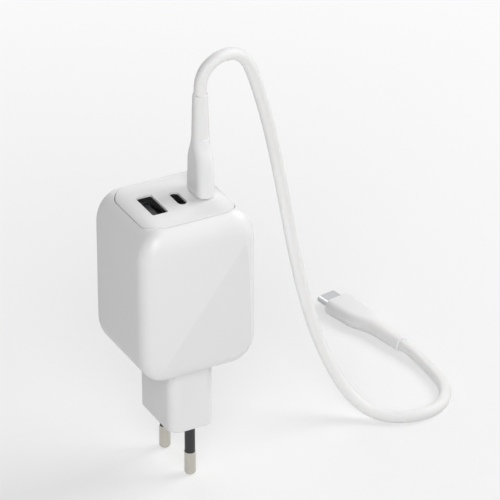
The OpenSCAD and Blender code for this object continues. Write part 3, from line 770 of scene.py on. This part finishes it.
    def _rings(self) -> list[Ring]:
        """Gives the closed run of rings: outside, recess, ledge and inside.

        Returns:
            The rings in order, of which the last meets the first.
        """
        width, depth, radius = self.panel
        seam = rounded_outline(width, depth, radius, self.seam)
        neck = rounded_outline(*self.neck)
        round_r = self.edge_round
        mouth = rounded_outline(width, depth, radius, self.seam + round_r)
        outer = self.skin(rounded_outline(*self.neck, round_r), mouth, 0.0)
        edge = self.cap(seam, True)
        lip = []
        for share in self.lip_turns:
            turn = share * math.pi / 2
            grow = self.seam + round_r * (1 - math.sin(turn))
            ring = self.cap(rounded_outline(width, depth, radius, grow), True)
            ring[:, 2] = ring[:, 2] - round_r * (1 - math.cos(turn))
            lip.append(ring)
        below, highest = self.recess_lip
        lip.append(lift(seam, np.minimum(edge[:, 2] - below, highest)))
        ledge_w, ledge_t = self.ledge
        opening = rounded_outline(width, depth, radius, -ledge_w)
        inner_top = self.recess_z - ledge_t
        inner = self.skin(neck, neck, self.wall, inner_top)[::-1]
        foot = self.middle - self.height / 2
        return [
            *outer,
            *lip,
            lift(seam, self.recess_z),
            lift(opening, self.recess_z),
            lift(opening, inner_top),
            *inner,
            lift(neck, foot + round_r),
            lift(rounded_outline(*self.neck, self.neck_corner), foot + self.neck_corner),
        ]

    def build(self) -> bpy.types.Object:
        """Builds the housing with its guide ribs.

        Returns:
            The housing's piece.
        """
        shell = Shell()
        shell.bridge(self._rings(), closed=True)
        bmesh.ops.remove_doubles(shell.mesh, verts=shell.mesh.verts, dist=SAME)
        self._crease(shell)
        rib_w, rib_y, low, high = self.rib
        gap = self.board_t / 2 + self.board_clear
        back = self.depth / 2 - self.wall + self.rib_root
        slot, lap = self.rib_slot
        for x in self.boards:
            for side in (-1, 1):
                y0, y1 = sorted((side * rib_y, side * back))
                slot_y0, slot_y1 = sorted((side * (rib_y + slot), side * back))
                shell.block((x - rib_w / 2, y0, low), (x - gap, y1, high))
                shell.block((x + gap, y0, low), (x + rib_w / 2, y1, high))
                shell.block((x - gap - lap, slot_y0, low), (x + gap + lap, slot_y1, high))
        piece = shell.finish("housing", "housing", ["housing_shell"])
        # Second material, for the planed facet: a shade darker, as painted shade
        piece.data.materials.append(FACET_PAINTED_SHADE.build())
        return piece


# Port panel


@dataclass
class PortPanel:
    """The panel set into the top, with its three openings and snap hooks.

    Attributes:
        rim: Width of the rim under the panel's edge, and how deep it reaches.
        soften: Radius of the panel's edge.
        large: Place along X, width, depth and corner radius of the large opening.
        small: Width and depth of a small opening.
        small_x: Places of the small openings along X.
        frame: How deep in an opening its dark lining starts, and how far it reaches in; its dark is
            painted shade.
        ports_field: Width, depth and corner radius of the flat field round the ports.
        lip: Size of the rounding of the openings' edges.
        edge_drop: Height of the first band of the panel's side.
        hook: Width, thickness, catch and nose of a hook.
        hook_pitch: Distance between the two hooks of a side.
        hook_gap: Room between a hook and the ledge.
        hook_root: How far a hook reaches into the rim.
        field_steps: Rings of the panel's curved field.
        edge_turns: Rings over the panel's edge, as shares of its quarter turn.
        lip_bulge: Place of the middle ring of an opening's edge, across and down.
        shade_lining_seat: How far a lining of painted shade stands below the panel, and off its
            opening.
    """

    housing: Housing
    thickness: float = 2.0
    rim: tuple[float, float] = (2.8, 3.6)
    soften: float = 0.22
    large: tuple[float, float, float, float] = (-8.46, 5.72, 13.1, 0.6)
    small: tuple[float, float] = (3.16, 8.94)
    small_x: tuple[float, float] = (1.28, 9.74)
    # Depth and reach of each opening's dark lining, which is painted shade
    frame: tuple[float, float] = (0.75, 0.28)
    ports_field: tuple[float, float, float] = (24.6, 15.4, 1.2)
    lip: float = 0.16
    edge_drop: float = 0.5
    hook: tuple[float, float, float, float] = (6.0, 1.1, 0.6, 1.2)
    hook_pitch: float = 16.0
    hook_gap: float = 0.1
    hook_root: float = 0.5
    field_steps: int = 8
    edge_turns: tuple[float, float, float] = (0.33, 0.66, 1.0)
    lip_bulge: tuple[float, float] = (0.2, 0.3)
    shade_lining_seat: tuple[float, float] = (0.05, 0.02)

    def _openings(self, grow: float) -> list[np.ndarray]:
        """Gives the three openings' outlines.

        Args:
            grow: Distance by which they are moved outwards.

        Returns:
            The outlines of the large port and the two small ones.
        """
        x, width, depth, radius = self.large
        found = [rounded_outline(width, depth, radius, grow) + (x, 0)]
        width, depth = self.small
        for x in self.small_x:
            found.append(rounded_outline(width, depth, width / 2, grow) + (x, 0))
        return found

    def _hooks(self, shell: Shell) -> None:
        """Adds the four snap hooks under the rim.

        Args:
            shell: The panel's mesh.
        """
        width, thick, reach, nose = self.hook
        gap = self.hook_gap
        top = self.housing.recess_z + gap
        root = top + self.hook_root
        leg = self.housing.panel[1] / 2 - self.housing.ledge[0] - gap
        tip = top - gap - self.housing.ledge[1] - gap
        profile = [
            (leg - thick, root), (leg - thick, tip - nose), (leg, tip - nose),
            (leg + reach, tip), (leg, tip), (leg, root),
        ]
        for x in (-self.hook_pitch / 2, self.hook_pitch / 2):
            for side in (-1, 1):
                edges = (x - width / 2, x + width / 2)
                cuts = [np.array([(edge, side * y, z) for y, z in profile]) for edge in edges]
                shell.bridge(cuts, ends=True)

    def build(self) -> bpy.types.Object:
        """Builds the panel.

        Returns:
            The panel's piece.
        """
        shell = Shell()
        width, depth, radius = self.housing.panel
        top_z = self.housing.middle + self.housing.height / 2
        under_z = top_z - self.thickness
        rim_w, rim_h = self.rim
        rings = []
        inner_field = rounded_outline(*self.ports_field)
        start = rounded_outline(width, depth, radius, -self.soften)
        for f in np.linspace(0, 1, self.field_steps):
            rings.append(self.housing.cap(inner_field + (start - inner_field) * f, True))
        for share in self.edge_turns:
            turn = share * math.pi / 2
            grow = -self.soften * (1 - math.sin(turn))
            ring = self.housing.cap(rounded_outline(width, depth, radius, grow), True)
            ring[:, 2] -= self.soften * (1 - math.cos(turn))
            rings.append(ring)
        wall = rounded_outline(width, depth, radius)
        rings.append(lift(wall, rings[-1][:, 2] - self.edge_drop))
        rings.append(lift(wall, top_z - rim_h))
        rim = rounded_outline(width, depth, radius, -rim_w)
        rings.append(lift(rim, top_z - rim_h))
        rings.append(lift(rim, under_z))
        shell.bridge(rings)
        lip = self.lip
        across, down = self.lip_bulge
        for wide, edge in zip(self._openings(lip), self._openings(0.0)):
            mid = (wide + edge) / 2 + (edge - wide) * across
            shell.bridge([
                lift(wide, top_z), lift(mid, top_z - lip * down),
                lift(edge, top_z - lip), lift(edge, under_z),
            ])
        shell.flat(top_z)
        shell.flat(under_z)
        self._hooks(shell)
        return shell.finish("port_face", "panel", ["port_panel"])

    def build_shade_linings(self) -> bpy.types.Object:
        """Builds the dark linings of the openings' walls round the ports, which are painted shade.

        Returns:
            The linings' piece.
        """
        shell = Shell()
        top_z = self.housing.middle + self.housing.height / 2
        below, off = self.shade_lining_seat
        low, high = top_z - self.thickness - below, top_z - self.frame[0]
        outer = self._openings(-off)
        inner = self._openings(-self.frame[1])
        for wide, narrow in zip(outer, inner):
            run = [lift(wide, low), lift(wide, high), lift(narrow, high), lift(narrow, low)]
            shell.bridge(run, closed=True)
        return shell.finish("port_shade_linings", "port_plastic", [])


# Plug head and pins


@dataclass
class PlugHead:
    """The neck below the housing, with its end wall, bosses and flange.

    Attributes:
        end: Thickness of the end wall.
        chamfer: Radius of the end's edge.
        flange: How far the flange stands out, its foot and its top.
        hole_d: Diameter of a pin's opening in the end face.
        boss_root: How far a boss reaches into the end wall.
        boss_reach: How far a boss may reach into the side wall.
        middle_z: Height of the ring half-way up the wall.
        seat_d: Diameter of a sleeve's seat.
        seat_clear: Least distance of a seat from the side wall.
        sleeve_root: Height at which a sleeve's seat starts.
        edge_steps: Rings over the end's edge.
    """

    width: float = 17.0
    depth: float = 25.0
    radius: float = 4.0
    wall: float = 2.0
    end: float = 3.0
    chamfer: float = 0.8
    flange: tuple[float, float, float] = (1.2, 27.1, 28.7)
    pin_pitch: float = 19.0
    hole_d: float = 3.7
    boss_d: float = 7.0
    boss_h: float = 10.0
    boss_root: float = 0.3
    boss_reach: float = 0.6
    middle_z: float = 12.0
    seat_d: float = 4.1
    seat_clear: float = 0.1
    sleeve_root: float = 1.55
    edge_steps: int = 6

    def _round(self, diameter: float, side: int, limit: float = math.inf) -> np.ndarray:
        """Gives a circle round a pin.

        Args:
            diameter: The circle's diameter.
            side: The pin's side along Y, as -1 or 1.
            limit: How far along Y the circle may reach from the head's middle.

        Returns:
            The circle's points in the plane.
        """
        circle = rounded_outline(diameter, diameter, diameter / 2)
        circle[:, 1] = np.clip(circle[:, 1] + side * self.pin_pitch / 2, -limit, limit)
        return circle

    def _profile(self) -> list[Ring]:
        """Gives the head's rings.

        Returns:
            The outer rings from the end face up, and the inner ones down.
        """
        rings = []
        for share in np.linspace(0, 1, self.edge_steps):
            turn = share * math.pi / 2
            grow = -self.chamfer * (1 - math.sin(turn))
            outline = rounded_outline(self.width, self.depth, self.radius, grow)
            rings.append(lift(outline, self.chamfer * (1 - math.cos(turn))))
        wall = rounded_outline(self.width, self.depth, self.radius)
        reach, low, high = self.flange
        brim = rounded_outline(self.width, self.depth, self.radius, reach)
        hollow = rounded_outline(self.width, self.depth, self.radius, -self.wall)
        rings += [lift(wall, self.middle_z), lift(wall, low), lift(brim, low), lift(brim, high)]
        rings += [lift(hollow, high), lift(hollow, self.end)]
        return rings

    def build(self) -> bpy.types.Object:
        """Builds the plug head.

        Returns:
            The plug head's piece.
        """
        shell = Shell()
        shell.bridge(self._profile())
        inside = self.depth / 2 - self.wall - self.seat_clear
        for side in (-1, 1):
            hole = self._round(self.hole_d, side)
            seat = self._round(self.seat_d, side, inside)
            root = self.sleeve_root
            run = [lift(hole, 0.0), lift(hole, root), lift(seat, root), lift(seat, self.end)]
            shell.bridge(run)
        shell.flat(0.0)
        shell.flat(self.end)
        self._bosses(shell)
        return shell.finish("plug_neck", "housing", ["plug_head"])

    def _bosses(self, shell: Shell) -> None:
        """Adds the tube round each pin, where the head's wall leaves it room.

        Args:
            shell: The plug head's mesh.
        """
        limit = self.depth / 2 - self.wall + self.boss_reach
        for side in (-1, 1):
            boss = self._round(self.boss_d, side, limit)
            seat = self._round(self.seat_d, side, limit - self.boss_root)
            low, high = self.end - self.boss_root, self.boss_h
            run = [lift(seat, low), lift(boss, low), lift(boss, high), lift(seat, high)]
            shell.bridge(run, closed=True)


# Cable and its plugs


@dataclass
class CablePlug:
    """A grip and its strain relief, standing on its face with the cable above.

    Attributes:
        label: What its pieces' names start with.
        place: Centre of its face.
        turn: Direction in degrees in which it lies, or None where it stands.
        taper: How far a narrow side of the grip leans in up to the shoulder.
        shoulder: Length of the smooth fall to the strain relief.
        soften: Radius of the face's edge.
        lip: Radius of the end's edge.
        root: Depth of the metal shell's seat.
        shell: Width and thickness of that seat.
        relief_l: Length of the strain relief.
        relief_d: Diameters of the strain relief at the grip and at the cable.
        end_step: How much wider the grip's end is than the strain relief.
        end_thin: How much thinner the grip's end is than the grip.
        ring_shares: Rings below the shoulder, as shares of the height there.
    """

    label: str
    place: tuple[float, float, float]
    turn: float | None = None
    width: float = 12.35
    thick: float = 6.5
    length: float = 20.6
    taper: float = 0.5
    shoulder: float = 9.0
    soften: float = 0.6
    lip: float = 0.15
    root: float = 2.0
    shell: tuple[float, float] = (8.35, 2.5)
    relief_l: float = 16.0
    relief_d: tuple[float, float] = (6.0, 5.2)
    end_step: float = 0.35
    end_thin: float = 0.1
    ring_shares: tuple[float, float] = (0.35, 0.7)

    def _stand(self, ring: Ring) -> Ring:
        """Moves a ring from the plug's own frame to its place.

        Args:
            ring: Points with the plug's face at the origin.

        Returns:
            The points in the object's frame.
        """
        if self.turn is None:
            return ring + np.array(self.place)
        x, y, z = ring[:, 0].copy(), ring[:, 1].copy(), ring[:, 2].copy()
        c, s = math.cos(math.radians(self.turn)), math.sin(math.radians(self.turn))
        return np.column_stack((c * z - s * y, s * z + c * y, -x)) + np.array(self.place)

    def _slot(self, width: float, thick: float) -> np.ndarray:
        """Gives a slot with round ends whose length lies along Y."""
        return rounded_outline(thick, width, thick / 2)

    def _size(self, z: float) -> tuple[float, float]:
        """Gives the grip's width and thickness at a height.

        Args:
            z: Height above the plug's face.

        Returns:
            The width and the thickness.
        """
        body = self.length - self.shoulder
        share = min(1.0, max(0.0, (z - self.soften) / body))
        width = self.width - 2 * self.taper * share
        thick = self.thick - self.taper / 2 * share
        fall = min(1.0, max(0.0, (z - body) / self.shoulder))
        fall = fall * fall * (3 - 2 * fall)
        end = self.relief_d[0] + self.end_step
        thin = min(end, thick) - self.end_thin
        return width + (end - width) * fall, thick + (thin - thick) * fall

    def _grip_rings(self) -> list[Ring]:
        """Gives the grip's rings.

        Returns:
            The rings from the seat of its metal shell out, up and over its end.
        """
        turns = [math.pi / 2 * share for share in (0.0, 0.25, 0.5, 0.75, 1.0)]
        body, last = self.length - self.shoulder, self.length - self.lip
        heights = [body * share for share in self.ring_shares]
        heights += list(np.linspace(body, last, BEND_STEPS + 1)[:-1])
        levels = [(self.soften * (1 - math.cos(t)), self.soften * (1 - math.sin(t))) for t in turns]
        levels += [(z, 0.0) for z in heights]
        levels += [
            (self.length - self.lip * (1 - math.cos(t)), self.lip * (1 - math.sin(t)))
            for t in turns[::-1]
        ]
        rings = [lift(self._slot(*self.shell), z) for z in (self.root, 0.0)]
        for z, cut in levels:
            width, thick = self._size(z)
            rings.append(lift(self._slot(width - 2 * cut, thick - 2 * cut), z))
        return rings

    def build(self) -> list[bpy.types.Object]:
        """Builds the grip and the strain relief.

        Returns:
            The two pieces.
        """
        grip = Shell()
        grip.bridge([self._stand(r) for r in self._grip_rings()], ends=True)
        collar = Shell()
        start, stop = (d / 2 for d in self.relief_d)
        end = self.relief_l
        # Radius and rise of each ring: the foot, the cone and the round mouth
        profile = [(start, 0.0), (start, 0.02), (start - 0.02, 0.6), (stop + 0.02, end - 0.35)]
        profile += [(stop - 0.05, end - 0.12), (stop - 0.28, end)]
        rings = []
        for radius, rise in profile:
            circle = rounded_outline(2 * radius, 2 * radius, radius)
            rings.append(self._stand(lift(circle, self.length + rise)))
        collar.bridge(rings, ends=True)
        return [
            grip.finish(f"{self.label}_grip", "grip", [f"{self.label}_plug_grip"]),
            collar.finish(f"{self.label}_relief", "jacket", [f"{self.label}_plug_relief"]),
        ]


@dataclass
class Cable:
    """The cord from the seated plug over, down and along to the free plug.

    Attributes:
        length: Length between the two strain reliefs; not used.
        smooth: Steps from one point of the route to the next.
        sides: Facets round the jacket.
        leave: Direction in which it leaves the seated plug.
        arrive: Direction in which it reaches the free plug.
        route: Points that its centreline passes through.
    """

    diameter: float = 4.3
    length: float = 253.3
    smooth: int = 8
    sides: int = 24
    leave: tuple[float, float, float] = (0.0, 0.0, 1.0)
    arrive: tuple[float, float, float] = (-0.173648, 0.984808, 0.0)
    route: list[tuple[float, float, float]] = field(
        default_factory=lambda: [
            (9.74, 0, 120.4), (10.3, 0.1, 125.5), (12.7, 0.4, 129.3), (17, 0.8, 131.6),
            (21.9, 1.6, 131.5), (25.9, 2.5, 129.5), (29.3, 3.5, 125.5), (32.2, 4.5, 119),
            (35.4, 5.8, 110), (39, 7.2, 98.5), (42.4, 8.6, 85.5), (45.6, 9.7, 71.5),
            (48.6, 10.4, 56.5), (51.5, 10.5, 41.5), (54.4, 9.5, 27), (57.4, 7.1, 13.5),
            (60.9, 3.2, 1.5), (65, -2, -8.6), (69.9, -7.6, -14.6), (75.8, -12.8, -16.8),
            (82.6, -16.4, -16.8), (89.8, -17, -16.8), (96.4, -14.4, -16.8), (101, -9.2, -16.8),
            (103.5, -2.6, -16.8), (104.4, 4.6, -16.8), (104.6, 12, -16.6), (104.1, 18.8, -16),
            (103.1556, 24.956, -15.75),
        ]
    )

    def line(self) -> np.ndarray:
        """Draws the smooth centreline through the route's points.

        Returns:
            Points along the centreline, in millimetres.
        """
        points = np.array(self.route, float)
        first = np.linalg.norm(points[1] - points[0])
        last = np.linalg.norm(points[-1] - points[-2])
        before = points[1] - 2 * first * np.array(self.leave)
        after = points[-2] + 2 * last * np.array(self.arrive)
        run = np.vstack((before, points, after))
        found = []
        for a, b, c, d in zip(run, run[1:], run[2:], run[3:]):
            for k in range(self.smooth):
                t = k / self.smooth
                found.append(
                    0.5 * (2 * b + (c - a) * t + (2 * a - 5 * b + 4 * c - d) * t**2
                           + (3 * b - a - 3 * c + d) * t**3)
                )
        found.append(points[-1])
        return np.array(found)

    def _jacket_tree(self) -> tuple[bpy.types.NodeTree, dict[str, str]]:
        """Builds the node tree that sweeps a round jacket along a line.

        Returns:
            The tree, and its input identifiers by name.
        """
        tree = bpy.data.node_groups.new("cable jacket", "GeometryNodeTree")
        sockets = {}
        face = tree.interface
        face.new_socket("Geometry", in_out="INPUT", socket_type="NodeSocketGeometry")
        for name, kind in (
            ("Jacket radius", "NodeSocketFloat"),
            ("Facets round", "NodeSocketInt"),
            ("Jacket finish", "NodeSocketMaterial"),
        ):
            sockets[name] = face.new_socket(name, in_out="INPUT", socket_type=kind).identifier
        face.new_socket("Geometry", in_out="OUTPUT", socket_type="NodeSocketGeometry")
        given = add_node(tree, "NodeGroupInput")
        line = add_node(tree, "GeometryNodeMeshToCurve", None, {"Mesh": given.outputs["Geometry"]})
        circle = add_node(
            tree,
            "GeometryNodeCurvePrimitiveCircle",
            None,
            {"Resolution": given.outputs["Facets round"], "Radius": given.outputs["Jacket radius"]},
        )
        tube = add_node(
            tree,
            "GeometryNodeCurveToMesh",
            {"Fill Caps": True},
            {"Curve": line, "Profile Curve": circle},
        )
        whole = add_node(tree, "GeometryNodeRealizeInstances", None, {"Geometry": tube})
        dressed = add_node(
            tree,
            "GeometryNodeSetMaterial",
            None,
            {"Geometry": whole, "Material": given.outputs["Jacket finish"]},
        )
        add_node(tree, "NodeGroupOutput", None, {"Geometry": dressed})
        return tree, sockets

    def build(self) -> bpy.types.Object:
        """Returns:
            The cable's piece.
        """
        points = self.line()
        data = bpy.data.meshes.new("cable line")
        steps = [(i, i + 1) for i in range(len(points) - 1)]
        data.from_pydata([tuple(p * MM) for p in points], steps, [])
        guide = put_in_scene("cable line", data)
        tree, sockets = self._jacket_tree()
        modifier = guide.modifiers.new("jacket", "NODES")
        modifier.node_group = tree
        modifier[sockets["Jacket radius"]] = self.diameter / 2 * MM
        modifier[sockets["Facets round"]] = self.sides
        modifier[sockets["Jacket finish"]] = FINISHES["jacket"].build()
        graph = bpy.context.evaluated_depsgraph_get()
        mesh = bpy.data.meshes.new_from_object(guide.evaluated_get(graph))
        piece = put_in_scene("charging_cable", mesh)
        bpy.data.objects.remove(guide)
        bm = bmesh.new()
        bm.from_mesh(mesh)
        bmesh.ops.remove_doubles(bm, verts=bm.verts, dist=SAME)
        bmesh.ops.recalc_face_normals(bm, faces=bm.faces)
        for face in bm.faces:
            face.smooth = len(face.verts) == 4
        bm.to_mesh(mesh)
        bm.free()
        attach(piece, BODY)
        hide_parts("cable")
        measured = float(np.linalg.norm(np.diff(points, axis=0), axis=1).sum())
        LOG.info("charging_cable: %.1f mm long", measured)
        return piece


# What the housing holds


@dataclass
class CarriedSolids:
    """The solids that keep their own shape and get their real finish.

    Attributes:
        nodes: The solids by the names of their nodes.
        slots: The material slot of each node.
    """

    nodes: Mapping[str, bpy.types.Object]
    slots: Mapping[str, str]

    def dress(self) -> int:
        """Gives every shown solid the material of its slot.

        Returns:
            The number of solids that were dressed.
        """
        count = 0
        for name, thing in self.nodes.items():
            if thing.hide_render:
                continue
            thing.data.materials.clear()
            thing.data.materials.append(FINISHES[self.slots[name]].build())
            count += 1
            LOG.info("%s: %s", name, FINISHES[self.slots[name]].name)
        return count


# Camera, floor and light


@dataclass
class PhotoCamera:
    """The camera at the photograph's angle and distance.

    The zoom closes in on the object, which is small in the photograph's frame.

    Attributes:
        turn: Degrees to the left of the front.
        rise: Degrees above the level.
        distance: Distance from the target.
        lens_at_one: Focal length before the zoom.
        zoom: How many times longer the lens is than that.
        middle: The point beside which the target lies.
        aside: How far to the right of that point it lies, as seen.
        above: How far above that point it lies, as seen.
    """

    turn: float = 28.0
    rise: float = 30.0
    distance: float = 1346.0
    lens_at_one: float = 126.0
    zoom: float = 2.3
    middle: tuple[float, float, float] = (0.0, 0.0, 54.25)
    aside: float = 24.92
    above: float = 8.42

    def build(self) -> bpy.types.Object:
        """Places the camera.

        Returns:
            The camera.
        """
        a, e = math.radians(self.turn), math.radians(self.rise)
        back = Vector((-math.sin(a) * math.cos(e), -math.cos(a) * math.cos(e), math.sin(e)))
        right = Vector((math.cos(a), -math.sin(a), 0))
        up = back.cross(right)
        target = Vector(self.middle) + right * self.aside + up * self.above
        data = bpy.data.cameras.new("photo camera")
        data.sensor_width = 36.0
        data.lens = self.lens_at_one * self.zoom
        data.clip_start = 0.01
        data.clip_end = 50.0
        camera = put_in_scene("photo camera", data)
        camera.location = (target + back * self.distance) * MM
        camera.rotation_euler = back.to_track_quat("Z", "Y").to_euler()
        bpy.context.scene.camera = camera
        return camera


@dataclass
class Studio:
    """A pale floor under the object and plain soft lamps round it.

    Attributes:
        floor_z: Height of the object's lowest point.
        reach: How far the floor reaches each way.
        ambient: Strength of the world's light.
        floor_white: Share of pure white that the floor shows at the object.
        fade: Distances in metres between which that share grows to 1.
        floor_gap: How far below the object the floor lies.
        away: Distance of the lamps.
        aim: The point that the lamps shine on.
        lamps: Name, direction from the object, side and power of each lamp.
    """

    floor_z: float = -19.0
    reach: float = 3000.0
    ambient: float = 0.06
    floor_white: float = 0.5
    fade: tuple[float, float] = (0.1, 0.5)
    floor_gap: float = 0.02
    away: float = 700.0
    aim: tuple[float, float, float] = (20.0, 0.0, 50.0)
    lamps: tuple[tuple[str, tuple[float, float, float], float, float], ...] = (
        ("front window", (-0.40, -0.74, 0.54), 380.0, 3.1),
        ("right window", (0.76, -0.04, 0.65), 420.0, 3.3),
        ("back window", (0.10, 0.90, 0.42), 420.0, 1.4),
    )

    def _seen(self, tree: bpy.types.NodeTree) -> bpy.types.NodeSocket:
        """Adds the nodes that tell what is seen, mirrored or seen through.

        Args:
            tree: The tree that the nodes join.

        Returns:
            A socket that is 1 for such rays and 0 for those that light things.
        """
        path = add_node(tree, "ShaderNodeLightPath")
        either = add_node(
            tree, "ShaderNodeMath", {"operation": "MAXIMUM"},
            {0: path.outputs["Is Camera Ray"], 1: path.outputs["Is Glossy Ray"]},
        )
        every = add_node(
            tree, "ShaderNodeMath", {"operation": "MAXIMUM"},
            {0: either, 1: path.outputs["Is Transmission Ray"]},
        )
        return every.outputs[0]

    def _floor(self) -> None:
        """Lays the pale floor, which keeps the shadow and fades to white around."""
        bm = bmesh.new()
        bmesh.ops.create_grid(bm, x_segments=8, y_segments=8, size=self.reach * MM)
        data = bpy.data.meshes.new("floor")
        bm.to_mesh(data)
        bm.free()
        for vert in data.vertices:
            vert.co.z = (self.floor_z - self.floor_gap) * MM
        floor = put_in_scene("floor", data)
        paper = Finish(
            "matt white paper", "#ececec", "#e8e8e8", (0.85, 0.95), grain_mm=1.5, bump_mm=0.01
        ).build()
        tree = paper.node_tree
        end = next(n for n in tree.nodes if n.type == "OUTPUT_MATERIAL")
        lit = end.inputs["Surface"].links[0].from_socket
        place = add_node(tree, "ShaderNodeTexCoord")
        away = add_node(
            tree, "ShaderNodeVectorMath", {"operation": "LENGTH"}, {0: place.outputs["Object"]}
        )
        fade = add_node(
            tree,
            "ShaderNodeMapRange",
            {
                "From Min": self.fade[0],
                "From Max": self.fade[1],
                "To Min": self.floor_white,
                "To Max": 1.0,
            },
            {"Value": away.outputs["Value"]},
        )
        share = add_node(
            tree,
            "ShaderNodeMath",
            {"operation": "MULTIPLY"},
            {0: self._seen(tree), 1: fade},
        )
        white = add_node(tree, "ShaderNodeEmission", {"Color": linear("#ffffff"), "Strength": 1.0})
        mixed = add_node(tree, "ShaderNodeMixShader", None, {0: share, 1: lit, 2: white})
        tree.links.new(mixed.outputs[0], end.inputs["Surface"])
        data.materials.append(paper)

    def _world(self) -> None:
        """Sets an even ambient light that shows as white behind the object."""
        world = bpy.data.worlds.new("studio")
        bpy.context.scene.world = world
        world.use_nodes = True
        tree = world.node_tree
        tree.nodes.clear()
        seen = self._seen(tree)
        dim = add_node(
            tree, "ShaderNodeBackground", {"Color": linear("#ffffff"), "Strength": self.ambient}
        )
        bright = add_node(
            tree, "ShaderNodeBackground", {"Color": linear("#ffffff"), "Strength": 1.0}
        )
        mixed = add_node(tree, "ShaderNodeMixShader", None, {0: seen, 1: dim, 2: bright})
        add_node(tree, "ShaderNodeOutputWorld", None, {"Surface": mixed})

    def _lamp(
        self, name: str, towards: tuple[float, float, float], size: float, watts: float
    ) -> None:
        """Hangs a square soft lamp that points at the object.

        Args:
            name: The lamp's name.
            towards: Its direction from the object.
            size: Its side, in millimetres.
            watts: Its power.
        """
        data = bpy.data.lights.new(name, "AREA")
        data.size = size * MM
        data.energy = watts
        lamp = put_in_scene(name, data)
        way = Vector(towards).normalized()
        lamp.location = (Vector(self.aim) + way * self.away) * MM
        lamp.rotation_euler = way.to_track_quat("Z", "Y").to_euler()

    def build(self) -> None:
        """Builds the floor, the world and the lamps."""
        self._floor()
        self._world()
        for lamp in self.lamps:
            self._lamp(*lamp)
        bpy.context.scene.view_settings.view_transform = "Standard"


def main() -> None:
    """Builds the scene, from the camera and the cable to the carried solids."""
    logging.basicConfig(level=logging.INFO, format="%(name)s: %(message)s")
    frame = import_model()
    PhotoCamera().build()
    near = CablePlug("near", place=(9.74, 0.0, 83.8))
    far = CablePlug("far", place=(96.8, 61.0, -15.75), turn=-80.0)
    for plug in (near, far):
        plug.build()
    Cable().build()
    housing = Housing()
    housing.build()
    panel = PortPanel(housing)
    panel.build()
    panel.build_shade_linings()
    PlugHead().build()
    slots = {part["node"]: part["material_slot"] for part in frame["record"]["subparts"]}
    count = CarriedSolids(frame["nodes"], slots).dress()
    LOG.info("%d solids keep their own shape", count)
    Studio().build()


if __name__ == "__main__":
    main()
